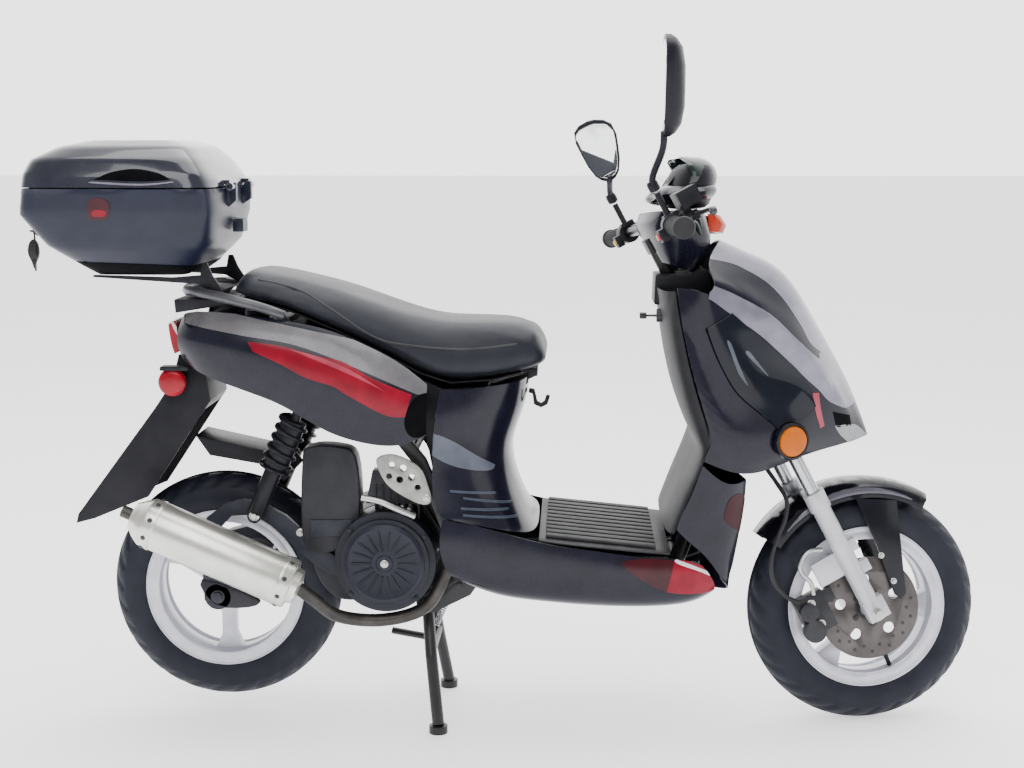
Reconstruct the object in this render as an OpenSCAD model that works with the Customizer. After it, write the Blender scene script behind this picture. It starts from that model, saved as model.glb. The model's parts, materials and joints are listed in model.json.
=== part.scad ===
// Moped scooter on its centre stand, steering turned a little to the left.
// +X is forward, +Y is left, +Z is up; the origin is on the ground below the middle of the machine.

/* [Wheels] */
// Radius of both tyres
tyre_r = 216; // [200:1:225]
// Radius of the round tyre section, half the tyre's width
tyre_section_r = 45; // [40:1:48]
// Distance from the front axle to the rear axle
wheelbase = 1190; // [1170:5:1200]
// Height of the rear tyre above the ground while the centre stand holds it
stand_lift = 28; // [15:1:35]
// Radius of the front brake disc
disc_r = 95; // [85:1:100]

/* [Steering] */
// Lean of the steering axis back from upright
rake = 28; // [26:0.5:30]
// How far the steering is turned left in the rest pose
steer_rest = 10; // [0:1:14]
// How far the fork legs stand ahead of the steering axis
fork_offset = 35; // [30:1:40]
// Distance between the middles of the two fork legs
fork_spread = 160; // [154:1:166]
// Half the length of the handlebar over the grips
bar_half = 336; // [320:1:345]

/* [Body panels] */
// Thickness of the moulded panels
panel_t = 3; // [2.5:0.1:3.5]
// Radius of the front turn signals
signal_r = 27; // [24:1:28]

/* [Top case] */
// Wall thickness of the top case
case_wall = 4; // [3:0.5:5]

/* [Engine] */
// Radius of the fan shroud on the right of the engine
shroud_r = 80; // [74:1:84]
// Outer radius of the muffler
muffler_r = 45; // [40:1:46]

/* [Centre stand] */
// Distance from the middle of the machine to each foot
foot_y = 130; // [120:1:140]

/* [Hidden] */

// Running clearance of a shaft in its bore.
run_gap = 0.05;
// Gap that keeps separate pieces from touching.
gap = 0.4;

// Steering axis: a point on it, and where the front axle lies in its own frame.
steer_point = [260, 0, 900];
axle_tilt = sin(steer_rest) * sin(rake);
tyre_mid_r = tyre_r - tyre_section_r;
front_axle_z = tyre_mid_r * sqrt(1 - axle_tilt * axle_tilt) + tyre_section_r;
axle_drop = (steer_point.z + fork_offset * cos(steer_rest) * sin(rake) - front_axle_z) / cos(rake);
front_axle_x = steer_point.x + fork_offset * cos(steer_rest) * cos(rake) + axle_drop * sin(rake);
rear_axle = [front_axle_x - wheelbase, 0, tyre_r + stand_lift];
rim_r = 142;
tyre_wall = 8;
axle_r = 7.5;
stanchion_r = 13;
stem_r = 12.5;
bar_r = 11;

// Places on the engine unit.
crank = [-214, 0, 320];
swing_pivot = [-85, 0, 262];
stand_pivot = [-147, 0, 228];
shock_top = [-366, 0, 600];
shock_foot = [-451, 0, 402];
shock_y = 118;
shock_length = norm(shock_top - shock_foot);
shock_lean = atan2(shock_top.x - shock_foot.x, shock_top.z - shock_foot.z);
seat_pivot = [50, 0, 655];
lid_pivot = [-489, 0, 992];
key_pivot = [-874, 0, 908];

// ---------- curves and skins ----------

function clamp_index(i, n) = max(0, min(n - 1, i));

// Catmull-Rom point between b and c.
function spline_point(a, b, c, d, t) =
    0.5 * (2 * b + (c - a) * t + (2 * a - 5 * b + 4 * c - d) * t * t
    + (3 * b - a - 3 * c + d) * t * t * t);

// Smooth open curve through pts, with n steps between neighbours.
function spline(pts, n) = concat(
    [for (i = [0 : len(pts) - 2]) for (k = [0 : n - 1]) spline_point(
        pts[clamp_index(i - 1, len(pts))], pts[i], pts[i + 1],
        pts[clamp_index(i + 2, len(pts))], k / n)],
    [pts[len(pts) - 1]]);

// Smooth closed curve through pts.
function closed_spline(pts, n) = let (m = len(pts))
    [for (i = [0 : m - 1]) for (k = [0 : n - 1]) spline_point(
        pts[(i + m - 1) % m], pts[i], pts[(i + 1) % m], pts[(i + 2) % m], k / n)];

// A half row, from its edge to the middle plane, mirrored to a full row from right to left.
function both(half) = concat(
    [for (p = half) [p.x, -p.y, p.z]],
    [for (k = [len(half) - 2 : -1 : 0]) half[k]]);

function unit(v) = v / norm(v);

function grid_normal(g, i, j) = unit(cross(
    g[min(i + 1, len(g) - 1)][j] - g[max(i - 1, 0)][j],
    g[i][min(j + 1, len(g[0]) - 1)] - g[i][max(j - 1, 0)]));

// Two triangles for the cell whose corners are a, b, c, d in order.
function cell(a, b, c, d) = [[a, b, c], [a, c, d]];

// A thin closed shell: rows of points, smoothed, thickened by t against their normal.
module skin(rows, t, nu = 2, nv = 2) {
    g = [for (row = spline(rows, nu)) spline(row, nv)];
    r = len(g);
    c = len(g[0]);
    n = r * c;
    outside = [for (i = [0 : r - 1]) for (j = [0 : c - 1]) g[i][j]];
    inside = [for (i = [0 : r - 1]) for (j = [0 : c - 1]) g[i][j] - t * grid_normal(g, i, j)];
    faces = concat(
        [for (i = [0 : r - 2]) for (j = [0 : c - 2]) let (a = i * c + j)
            each cell(a, a + 1, a + c + 1, a + c)],
        [for (i = [0 : r - 2]) for (j = [0 : c - 2]) let (a = n + i * c + j)
            each cell(a, a + c, a + c + 1, a + 1)],
        [for (j = [0 : c - 2]) each cell(j, n + j, n + j + 1, j + 1)],
        [for (j = [0 : c - 2]) let (a = (r - 1) * c + j) each cell(a, a + 1, n + a + 1, n + a)],
        [for (i = [0 : r - 2]) let (a = i * c) each cell(a, a + c, n + a + c, n + a)],
        [for (i = [0 : r - 2]) let (a = i * c + c - 1) each cell(a, n + a, n + a + c, a + c)]);
    polyhedron(concat(outside, inside), t > 0 ? faces : [for (f = faces) [f[2], f[1], f[0]]]);
}

// A closed body lofted through closed rings of points.
module loft(rings, nu = 2, nv = 2, flip = false) {
    g = [for (ring = spline(rings, nu)) closed_spline(ring, nv)];
    r = len(g);
    c = len(g[0]);
    points = [for (ring = g) each ring];
    first = [for (k = [0 : 2]) sum_of([for (p = g[0]) p[k]]) / c];
    last = [for (k = [0 : 2]) sum_of([for (p = g[r - 1]) p[k]]) / c];
    faces = concat(
        [for (i = [0 : r - 2]) for (j = [0 : c - 1]) let (k = (j + 1) % c)
            each cell(i * c + j, i * c + k, (i + 1) * c + k, (i + 1) * c + j)],
        [for (j = [0 : c - 1]) [r * c, (j + 1) % c, j]],
        [for (j = [0 : c - 1]) [r * c + 1, (r - 1) * c + j, (r - 1) * c + (j + 1) % c]]);
    polyhedron(concat(points, [first, last]), flip ? [for (f = faces) [f[2], f[1], f[0]]] : faces);
}

function sum_of(list, i = 0) = i < len(list) ? list[i] + sum_of(list, i + 1) : 0;

// Ring across the machine at x: half widths at the top, the widest line and the bottom.
function pad_ring(x, top_w, mid_w, top_z, mid_z, low_z) = [
    [x, 0, top_z], [x, top_w * 0.7, top_z - 1], [x, top_w, top_z - 9], [x, mid_w, mid_z],
    [x, mid_w - 4, low_z + 8], [x, mid_w - 14, low_z], [x, 0, low_z],
    [x, 14 - mid_w, low_z], [x, 4 - mid_w, low_z + 8], [x, -mid_w, mid_z],
    [x, -top_w, top_z - 9], [x, -top_w * 0.7, top_z - 1]];

// Level rounded-rectangle ring centred at x = cx, for the top case.
function case_ring(z, cx, half_x, half_y, corner) = [
    for (q = [0 : 3]) for (a = [0 : 45 : 90]) let (
        sx = (q == 0 || q == 3) ? 1 : -1,
        sy = q < 2 ? 1 : -1,
        angle = q * 90 + a)
    [cx + sx * (half_x - corner) + corner * cos(angle), sy * (half_y - corner) + corner * sin(angle), z]];

// ---------- simple solids ----------

module rod(a, b, r) {
    v = b - a;
    translate(a)
        rotate([0, acos(v.z / norm(v)), atan2(v.y, v.x)])
            cylinder(h = norm(v), r = r, $fn = 32);
}

// A bent tube through pts, with ball joints a hair larger than the tube.
module pipe(pts, r) {
    for (i = [0 : len(pts) - 2]) rod(pts[i], pts[i + 1], r);
    for (i = [1 : 1 : len(pts) - 2]) translate(pts[i]) sphere(r = r + 0.15, $fn = 32);
}

// Unit normal, in the side view, of a polyline at its point i.
function line_normal(pts, i) = let (
    d = unit(pts[min(i + 1, len(pts) - 1)] - pts[i] + 0.001 * (pts[1] - pts[0]))
        + unit(pts[i] - pts[max(i - 1, 0)] + 0.001 * (pts[1] - pts[0])))
    unit([-d.y, d.x]);

// A box-section rail along a side-view polyline, half its depth each way, from y0 to y1.
module rail(pts, half, y0, y1) {
    plate(concat(
        [for (i = [0 : len(pts) - 1]) pts[i] + half * line_normal(pts, i)],
        [for (i = [len(pts) - 1 : -1 : 0]) pts[i] - half * line_normal(pts, i)]), y0, y1);
}

// A cylinder across the machine from y0 to y1, at the place p in the side view.
module across(p, y0, y1, r) {
    translate([p.x, y0, p.z]) rotate([-90, 0, 0]) cylinder(h = y1 - y0, r = r, $fn = 48);
}

// A side-view outline [x, z] extruded across the machine from y0 to y1.
module plate(outline, y0, y1) {
    translate([0, y1, 0]) rotate([90, 0, 0]) linear_extrude(y1 - y0) polygon(outline);
}

module both_sides() {
    children();
    mirror([0, 1, 0]) children();
}

// Turns a piece given straight ahead to the steering's rest pose.
module steered() {
    translate(steer_point) rotate(a = steer_rest, v = [-sin(rake), 0, cos(rake)])
        translate(-steer_point) children();
}

// Frame of the steering: z along its axis, x forward of it.
module on_steering() {
    translate(steer_point) rotate([0, -rake, 0]) rotate([0, 0, steer_rest]) children();
}

// Frame of a wheel: its axle along local z, pointing left.
module wheel_at(p) {
    translate(p) rotate([-90, 0, 0]) children();
}

module front_wheel_place() {
    on_steering() translate([fork_offset, 0, -axle_drop]) rotate([-90, 0, 0]) children();
}

// ---------- wheels ----------

// Hollow tyre section, open towards the rim, with square beads.
module tyre() {
    bead_y = 35;
    bead_r = rim_r + 7.5;
    rotate_extrude($fn = 96) difference() {
        translate([tyre_mid_r, 0]) circle(r = tyre_section_r, $fn = 64);
        translate([tyre_mid_r, 0]) circle(r = tyre_section_r - tyre_wall, $fn = 64);
        translate([0, -60]) square([rim_r, 120]);
        translate([0, bead_y]) square([bead_r, 20]);
        translate([0, -bead_y - 20]) square([bead_r, 20]);
    }
}

module spoke() {
    translate([0, 0, -13]) linear_extrude(26) polygon([
        [22, -17], [60, -13], [96, -13], [118, -22], [139, -44],
        [139, 44], [118, 22], [96, 13], [60, 13], [22, 17]]);
}

module rim(first_spoke, hub_r, bore_r, hub_low, hub_high) {
    difference() {
        union() {
            rotate_extrude($fn = 96) polygon([
                [126, -39], [rim_r + 6, -39], [rim_r + 6, -36], [rim_r - 0.4, -36],
                [rim_r - 0.4, -22], [132, -14], [132, 14], [rim_r - 0.4, 22],
                [rim_r - 0.4, 36], [rim_r + 6, 36], [rim_r + 6, 39], [126, 39],
                [126, 34], [134, 24], [125, 14], [125, -14], [134, -24], [126, -34]]);
            for (k = [0 : 2]) rotate([0, 0, first_spoke + 120 * k]) spoke();
            translate([0, 0, hub_low]) cylinder(h = hub_high - hub_low, r = hub_r, $fn = 48);
        }
        translate([0, 0, hub_low - 1]) cylinder(h = hub_high - hub_low + 2, r = bore_r, $fn = 48);
    }
}

module front_tyre() { color("#1c1d22") front_wheel_place() tyre(); }
module rear_tyre() { color("#1c1d22") wheel_at(rear_axle) tyre(); }
module front_rim() { color("silver") front_wheel_place() rim(30, 27, axle_r + run_gap, -46, 46); }
module rear_rim() { color("silver") wheel_at(rear_axle) rim(-30, 34, 10 + run_gap, -42, 42); }

module brake_disc() {
    color("lightgray") front_wheel_place() translate([0, 0, -52]) difference() {
        union() {
            cylinder(h = 4, r = disc_r, $fn = 72);
            cylinder(h = 5.5, r = 40, $fn = 48);
        }
        translate([0, 0, -1]) cylinder(h = 8, r = 16, $fn = 48);
        for (k = [0 : 4]) rotate([0, 0, 72 * k]) translate([54, 0, -1]) cylinder(h = 8, r = 10, $fn = 24);
    }
}

// ---------- fork ----------

lower_top = -544;
fork_y = fork_spread / 2;

module fork_lowers() {
    color("silver") on_steering() {
        for (side = [-1, 1]) translate([fork_offset, side * fork_y, 0]) difference() {
            union() {
                translate([0, 0, -axle_drop - 16]) cylinder(h = axle_drop + 16 + lower_top - 30, r = 17, $fn = 40);
                translate([0, 0, lower_top - 34]) cylinder(h = 34, r = 20, $fn = 40);
                translate([-16, -13, -axle_drop - 16]) cube([40, 26, 40]);
                translate([10, -7, -720]) cube([22, 14, 22]);
                translate([10, -7, -675]) cube([18, 14, 22]);
            }
            translate([0, 0, -740]) cylinder(h = 740 + lower_top + 1, r = stanchion_r + run_gap, $fn = 40);
        }
        translate([fork_offset, -fork_y - 24, -axle_drop]) rotate([-90, 0, 0])
            cylinder(h = fork_spread + 48, r = axle_r, $fn = 32);
        translate([-28, -68, -712]) cube([52, 9, 46]);
    }
}

module front_fender() {
    fender_r = 240;
    color("#14151a") on_steering() translate([fork_offset, 0, -axle_drop]) rotate([0, rake, 0]) {
        rotate([90, 0, 0]) rotate([0, 0, 62]) rotate_extrude(angle = 84, $fn = 96) polygon([
            [206, -60], [226, -58], [236, -42], [fender_r, 0], [236, 42], [226, 58], [206, 60],
            [206, 57], [224, 55], [233, 40], [fender_r - 3, 0], [233, -40], [224, -55], [206, -57]]);
        both_sides() plate([
            [-30, 205], [48, 200], [64, 60], [68, 26], [58, 17], [46, 26], [10, 120]], 57.3, 60.3);
    }
}

module brake_caliper() {
    color("#2a2b30") on_steering() translate([fork_offset, 0, -axle_drop]) {
        difference() {
            union() {
                translate([-122, -64, 6]) cube([56, 24, 74]);
                translate([-112, -76, 18]) rotate([-90, 0, 0]) cylinder(h = 14, r = 21, $fn = 36);
                translate([-106, -76, 54]) rotate([-90, 0, 0]) cylinder(h = 14, r = 17, $fn = 36);
            }
            translate([0, -52.6, 0]) rotate([-90, 0, 0]) cylinder(h = 5.2, r = disc_r + 3, $fn = 72);
        }
        translate([-67, -63.5, 50]) cube([19, 7, 26]);
    }
}

// Route of the brake hose beside the right fork leg, in the steering's own frame.
hose_route = [
    [-78, -72, -714], [-96, -76, -690], [-104, -84, -650], [-90, -94, -610], [-62, -98, -580],
    [-34, -98, -556], [-16, -90, -530], [-14, -72, -500], [-16, -60, -470], [-16, -54, -448]];
hose_r = 4;

// A round faceted bar along a smooth route; up is never along the route.
module sweep(route, r, sides, up = [0, 1, 0.02]) {
    pts = spline(route, 3);
    n = len(pts);
    rings = [for (i = [0 : n - 1]) let (
        a = pts[max(i - 1, 0)],
        b = pts[min(i + 1, n - 1)],
        s = unit(cross(b - a, up)),
        w = unit(cross(b - a, s)))
        [for (k = [0 : sides - 1]) pts[i] + r * (cos(360 * k / sides) * s + sin(360 * k / sides) * w)]];
    loft(rings, 1, 1, true);
}

module brake_hose() { color("#101114") on_steering() sweep(hose_route, hose_r, 8); }

// ---------- steering head ----------

module steering_stem() {
    color("#3a3b40") on_steering() {
        translate([0, 0, -392]) cylinder(h = 382, r = stem_r, $fn = 40);
        translate([-22, -28, -394]) cube([60, 56, 26]);
        translate([10, -100, -394]) cube([46, 200, 26]);
        translate([-14, -16, -30]) cube([54, 32, 28]);
    }
    color("silver") on_steering() for (side = [-1, 1]) translate([fork_offset, side * fork_y, -684])
        cylinder(h = 314, r = stanchion_r, $fn = 40);
}

bar_points = [[28, 0, 14], [26, 70, 14], [8, 190, 12], [-7, bar_half, 9]];

module handlebar() {
    color("silver") on_steering() {
        pipe([for (p = bar_points) [p.x, -p.y, p.z]], bar_r);
        pipe(bar_points, bar_r);
        translate(bar_points[0]) sphere(r = bar_r + 0.15, $fn = 32);
        translate([14, -15, -1.6]) cube([28, 30, 6]);
    }
}

// A sleeve on the handlebar's outer stretch, from y0 to y1 along Y; side is -1 on the right.
module bar_sleeve(side, y0, y1, r_out, r_in) {
    a = [bar_points[2].x, side * bar_points[2].y, bar_points[2].z];
    b = [bar_points[3].x, side * bar_points[3].y, bar_points[3].z];
    d = (b - a) / (bar_points[3].y - bar_points[2].y);
    from = a + d * (y0 - bar_points[2].y);
    to = a + d * (y1 - bar_points[2].y);
    difference() {
        rod(from, to, r_out);
        rod(from - 2 * d, to + (r_in > 0 ? 2 : -6) * d, r_in);
    }
}

module left_grip() { color("#17181b") on_steering() bar_sleeve(1, 222, bar_half + 1, 16, bar_r + run_gap); }
module throttle_grip() { color("#17181b") on_steering() bar_sleeve(-1, 222, bar_half + 1, 16, bar_r + run_gap); }

lever_pivot_x = 42;
lever_y = 200;

module brake_perches() {
    color("#1b1c20") on_steering() {
        for (side = [-1, 1]) {
            bar_sleeve(side, 192, 219, 20, bar_r + run_gap);
            translate([22, side * lever_y - 13, 2]) difference() {
                cube([32, 26, 16]);
                translate([-1, -1, 4]) cube([34, 28, 8]);
            }
            translate([lever_pivot_x, side * lever_y, 2.6]) cylinder(h = 14.8, r = 4, $fn = 24);
            translate([-24, side * 205 - 13, -6]) difference() {
                cube([13, 24, 22]);
                translate([-1, 13 - side * 1, 11]) rotate([0, 90, 0]) cylinder(h = 9, r = 6.4, $fn = 24);
            }
            translate([8, side * 200, 27]) cylinder(h = 46, r = 5.5, $fn = 24);
            translate([-2, side * 200 - 10, 24.5]) cube([26, 20, 8]);
        }
        translate([30, -228, 28]) cube([38, 50, 30]);
        translate([32, -208, 17]) cube([14, 16, 12]);
    }
}

module brake_lever() {
    difference() {
        union() {
            translate([lever_pivot_x, lever_y, 6.6]) cylinder(h = 6.8, r = 10, $fn = 24);
            for (s = [0 : 4]) hull() {
                translate([lever_x(s), 206 + 25 * s, 7]) cylinder(h = 6, r = 6.5 - s * 0.4, $fn = 16);
                translate([lever_x(s + 1), 206 + 25 * (s + 1), 7]) cylinder(h = 6, r = 6.1 - s * 0.4, $fn = 16);
            }
            translate([lever_x(5), 331, 10]) sphere(r = 7, $fn = 24);
        }
        translate([lever_pivot_x, lever_y, 0]) cylinder(h = 20, r = 4 + run_gap, $fn = 24);
    }
}

function lever_x(s) = lever_pivot_x + 5 + 30 * sin(18 * s) - 1.1 * s * s;

module left_brake_lever() { color("#1b1c20") on_steering() brake_lever(); }
module right_brake_lever() { color("#1b1c20") on_steering() mirror([0, 1, 0]) brake_lever(); }

// A push button half sunk in its perch; side is -1 on the right.
module push_button(side) {
    on_steering() translate([-28, side * 204, 5]) rotate([0, 90, 0]) cylinder(h = 8, r = 6, $fn = 24);
}

module starter_button() { color("#b03028") push_button(-1); }
module horn_button() { color("#d8c23a") push_button(1); }

// Mirror head: a tall rounded shell with its glass side towards the rider.
module mirror_head(height, width) {
    rows = [for (z = [0, 0.06, 0.2, 0.4, 0.6, 0.8, 0.95, 1]) let (
        w = width * 0.5 * sqrt(max(0.03, 1 - pow(2 * z - 1, 4))) * (0.6 + 0.5 * z),
        d = 16 * sqrt(max(0.05, 1 - pow(2 * z - 1, 4))))
        [for (a = [0 : 30 : 330]) [d * max(cos(a), -0.25) + 4, w * sin(a), height * z]]];
    loft(rows, 1, 1, true);
}

module right_mirror() {
    color("#17181b") on_steering() {
        pipe([[8, -200, 77], [12, -208, 100], [38, -256, 134], [52, -268, 160]], 6);
        translate([48, -270, 152]) rotate([4, rake, -8]) mirror_head(166, 96);
    }
}

module left_mirror() {
    color("#17181b") on_steering() {
        pipe([[8, 200, 77], [12, 210, 96], [26, 242, 112], [34, 252, 122]], 6);
        translate([30, 254, 116]) rotate([0, rake - 12, 0]) rotate([0, 0, 62]) rotate([0, -20, 0]) mirror_head(128, 92);
    }
}

// Body-coloured cover round the handlebar clamp, given straight ahead.
module handlebar_cover() {
    lower = [[342, 0, 836], [336, 40, 836], [318, 60, 838], [290, 52, 850], [278, 0, 856]];
    low_mid = [[362, 0, 866], [354, 62, 868], [322, 86, 872], [276, 70, 882], [262, 0, 884]];
    high_mid = [[366, 0, 905], [352, 84, 906], [306, 112, 910], [256, 84, 915], [246, 0, 916]];
    upper = [[352, 0, 944], [338, 92, 944], [300, 128, 944], [262, 96, 942], [250, 0, 942]];
    color("#1d1e24") steered() difference() {
        skin([for (half = [lower, low_mid, high_mid, upper]) both_round(half)], panel_t, 2, 2);
        translate([250, 0, 900]) rotate([0, -rake, 0]) translate([0, 0, -90]) cylinder(h = 60, r = 27, $fn = 32);
    }
}

// Slit down the front of the handlebar cover, where its row meets itself.
cover_slit = 0.6;

// A row round the steering: front middle, left side, rear middle, right side, front middle.
function both_round(half) = concat(
    half,
    [for (k = [len(half) - 2 : -1 : 1]) [half[k].x, -half[k].y, half[k].z]],
    [half[0] + [0, -cover_slit, 0]]);

// Dial housing with its small screen, above the handlebar.
module instrument_pod() {
    color("#14151a") steered() {
        loft([
            pod_ring(262, 60, 978, 962),
            pod_ring(276, 84, 990, 956),
            pod_ring(310, 92, 996, 954),
            pod_ring(350, 84, 1000, 958),
            pod_ring(376, 50, 996, 970)], 2, 1);
        skin([
            both([[352, 70, 1003.5], [380, 45, 1003.5], [392, 0, 1003.5]]),
            both([[345, 66, 1022], [372, 40, 1024], [384, 0, 1025]]),
            both([[338, 44, 1036], [354, 25, 1044], [362, 0, 1047]])], 3, 2, 2);
    }
}

function pod_ring(x, w, top, low) = [
    [x, 0, top], [x, w * 0.75, top - 3], [x, w, (top + low) / 2], [x, w * 0.75, low + 3],
    [x, 0, low], [x, -w * 0.75, low + 3], [x, -w, (top + low) / 2], [x, -w * 0.75, top - 3]];

// ---------- front body ----------

// Rows of the apron from its top edge down; each runs from the wing edge to the nose.
apron_rows = [
    [[303, 152, 820], [328, 152, 818], [348, 148, 812], [357, 143, 808], [364, 142, 813],
        [371, 140, 824], [364, 122, 842], [357, 100, 861], [378, 50, 889], [393, 0, 898]],
    [[309, 178, 770], [332, 174, 745], [353, 160, 748], [374, 148, 758], [398, 142, 773],
        [424, 139, 797], [416, 122, 818], [404, 100, 840], [428, 52, 868], [440, 0, 876]],
    [[317, 182, 728], [345, 178, 700], [368, 160, 706], [402, 143, 718], [438, 138, 738],
        [472, 136, 762], [468, 117, 785], [460, 97, 806], [484, 50, 842], [492, 0, 852]],
    [[327, 184, 686], [360, 180, 655], [387, 160, 668], [426, 139, 688], [476, 133, 706],
        [519, 130, 719], [517, 110, 745], [510, 90, 772], [524, 46, 802], [530, 0, 810]],
    [[340, 185, 640], [378, 180, 610], [410, 158, 632], [455, 134, 652], [512, 125, 676],
        [560, 115, 669], [556, 98, 700], [551, 78, 726], [562, 38, 742], [566, 0, 748]],
    [[355, 185, 592], [402, 177, 568], [446, 154, 602], [494, 131, 622], [536, 117, 645],
        [590, 95, 632], [585, 80, 660], [582, 60, 686], [592, 30, 692], [596, 0, 694]],
    [[365, 184, 557], [424, 170, 536], [486, 148, 566], [524, 130, 588], [552, 112, 604],
        [612, 72, 594], [612, 58, 615], [614, 42, 634], [622, 20, 638], [626, 0, 640]],
    [[358, 184, 536], [430, 162, 506], [500, 136, 526], [536, 118, 540], [566, 98, 552],
        [628, 55, 556], [636, 40, 564], [645, 25, 572], [650, 12, 576], [653, 0, 578]],
    [[352, 182, 518], [425, 152, 482], [490, 122, 500], [530, 105, 514], [566, 86, 522],
        [622, 50, 530], [643, 34, 534], [656, 20, 537], [664, 10, 538], [668, 0, 538]]];

module front_apron() {
    color("#1d1e24") skin([for (row = apron_rows) both(row)], panel_t, 2, 1);
}

// Smoked headlight glasses, one on each side in the apron's hollow.
module headlight() {
    lift = 2.2;
    color("#0c0d10") both_sides() difference() {
        skin([for (i = [1 : 6])
            [for (j = [2 : 4]) let (p = apron_rows[i][j]) [p.x + lift, p.y + lift + (j == 3 ? 3 : 1), p.z + lift]]],
            -2, 2, 2);
        translate(front_signal) rotate([-90, 0, -24]) translate([0, 0, -30]) cylinder(h = 80, r = signal_r + 8, $fn = 48);
    }
}

module lower_cowl() {
    color("#1d1e24") skin([for (row = [
        [[350, 182, 512], [393, 170, 475], [432, 136, 478], [408, 96, 490], [394, 40, 492], [392, 0, 492]],
        [[329, 180, 450], [385, 168, 447], [430, 132, 442], [404, 92, 440], [390, 40, 440], [388, 0, 440]],
        [[306, 178, 395], [372, 165, 394], [425, 130, 400], [396, 90, 400], [381, 40, 400], [378, 0, 400]],
        [[356, 168, 350], [386, 156, 341], [414, 128, 335], [388, 88, 335], [371, 40, 335], [368, 0, 335]],
        [[392, 146, 296], [400, 136, 286], [404, 120, 274], [384, 85, 267], [368, 40, 264], [364, 0, 264]]])
        both(row)], panel_t, 2, 2);
}

module leg_shield() {
    color("#3c3d42") difference() {
        skin([for (row = [
            [[300, 150, 814], [284, 132, 812], [274, 80, 812], [272, 0, 812]],
            [[306, 177, 768], [290, 160, 768], [280, 90, 770], [278, 0, 770]],
            [[322, 183, 690], [304, 166, 690], [292, 100, 692], [290, 0, 692]],
            [[341, 184, 622], [322, 166, 620], [310, 100, 618], [308, 0, 618]],
            [[361, 183, 556], [346, 168, 556], [334, 110, 556], [332, 0, 556]],
            [[350, 182, 522], [347, 168, 524], [344, 110, 526], [343, 0, 526]],
            [[327, 179, 452], [320, 166, 454], [314, 110, 456], [313, 0, 456]],
            [[300, 176, 388], [294, 164, 386], [288, 110, 384], [286, 0, 384]]])
            both(row)], -panel_t, 2, 2);
        translate([ignition_place.x - 12, ignition_place.y, ignition_place.z]) rotate([0, 90, 0])
            cylinder(h = 40, r = 13 + gap, $fn = 32);
    }
}

ignition_place = [276, -62, 762];

// The key with the lock plug that it turns.
module ignition_key() {
    color("silver") translate(ignition_place) {
        translate([-4, 0, 0]) rotate([0, 90, 0]) cylinder(h = 40, r = 12, $fn = 32);
        translate([-32, -8, -1.5]) cube([30, 16, 3]);
        translate([-34, -11, -5]) cube([12, 22, 10]);
    }
}

// Four round signals: two on the apron, two on the mudguard.
front_signal = [507, 141, 549];
rear_signal = [-602, 88, 640];

module turn_signals() {
    color("orange") both_sides() translate(front_signal) rotate([-90, 0, -24]) {
        cylinder(h = 9, r = signal_r + 7, $fn = 48);
        translate([0, 0, 9]) cylinder(h = 5, r1 = signal_r, r2 = signal_r - 8, $fn = 48);
    }
    color("firebrick") both_sides() translate(rear_signal) {
        translate([0, -14, 0]) rotate([-90, 0, 0]) cylinder(h = 26, r = 26, $fn = 40);
        translate([-20, -16, 22]) cube([52, 30, 8]);
    }
}

// ---------- floor and centre body ----------

module floorboard() {
    color("#55565a") skin([for (row = [
        [[64, 178, 371], [64, 170, 376], [64, 100, 375], [64, 0, 375]],
        [[120, 180, 365], [120, 172, 370], [120, 100, 369], [120, 0, 369]],
        [[180, 181, 360], [180, 173, 365], [180, 100, 363], [180, 0, 363]],
        [[240, 180, 354], [240, 172, 359], [240, 100, 357], [240, 0, 357]],
        [[296, 174, 349], [296, 166, 354], [296, 100, 352], [296, 0, 352]]])
        both(row)], panel_t, 1, 2);
}

module belly_pan() {
    color("#1d1e24") skin([for (row = [
        [[-106, 174, 409], [-112, 180, 370], [-104, 176, 325], [-74, 150, 292], [-36, 60, 276], [-30, 0, 274]],
        [[-30, 179, 396], [-32, 184, 350], [-22, 179, 300], [-10, 150, 266], [0, 60, 263], [0, 0, 262]],
        [[70, 184, 370], [70, 188, 335], [70, 182, 286], [70, 150, 256], [70, 60, 252], [70, 0, 252]],
        [[160, 185, 358], [160, 190, 325], [160, 184, 281], [160, 150, 249], [160, 60, 246], [160, 0, 246]],
        [[250, 184, 346], [254, 189, 317], [256, 182, 276], [258, 150, 248], [258, 60, 245], [258, 0, 245]],
        [[312, 176, 340], [326, 177, 313], [334, 168, 280], [336, 140, 254], [336, 60, 250], [336, 0, 250]],
        [[346, 163, 334], [364, 159, 312], [376, 147, 290], [374, 122, 270], [358, 60, 260], [354, 0, 258]]])
        both(row)], panel_t, 2, 2);
}

module under_seat_panel() {
    color("#23242a") difference() {
        skin([for (row = [
        [[-112, 158, 640], [-70, 150, 638], [-25, 134, 642], [20, 104, 646], [38, 60, 648], [43, 0, 648]],
        [[-118, 166, 598], [-76, 157, 598], [-34, 140, 598], [10, 104, 600], [31, 60, 600], [37, 0, 600]],
        [[-121, 168, 556], [-84, 158, 556], [-44, 140, 556], [-2, 104, 555], [16, 60, 553], [20, 0, 552]],
        [[-124, 171, 512], [-88, 162, 512], [-50, 146, 512], [-10, 106, 512], [7, 60, 512], [11, 0, 512]],
        [[-124, 174, 462], [-82, 168, 460], [-42, 154, 458], [0, 120, 456], [18, 66, 455], [22, 0, 455]],
        [[-114, 176, 424], [-62, 172, 414], [-10, 166, 404], [27, 138, 400], [43, 74, 398], [46, 0, 397]],
        [[-106, 177, 412], [-54, 177, 402], [2, 172, 390], [46, 150, 382], [60, 80, 379], [61, 0, 379]]])
        both(row)], panel_t, 2, 2);
        translate([10, -54, 634]) cube([50, 108, 30]);
    }
}

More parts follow.
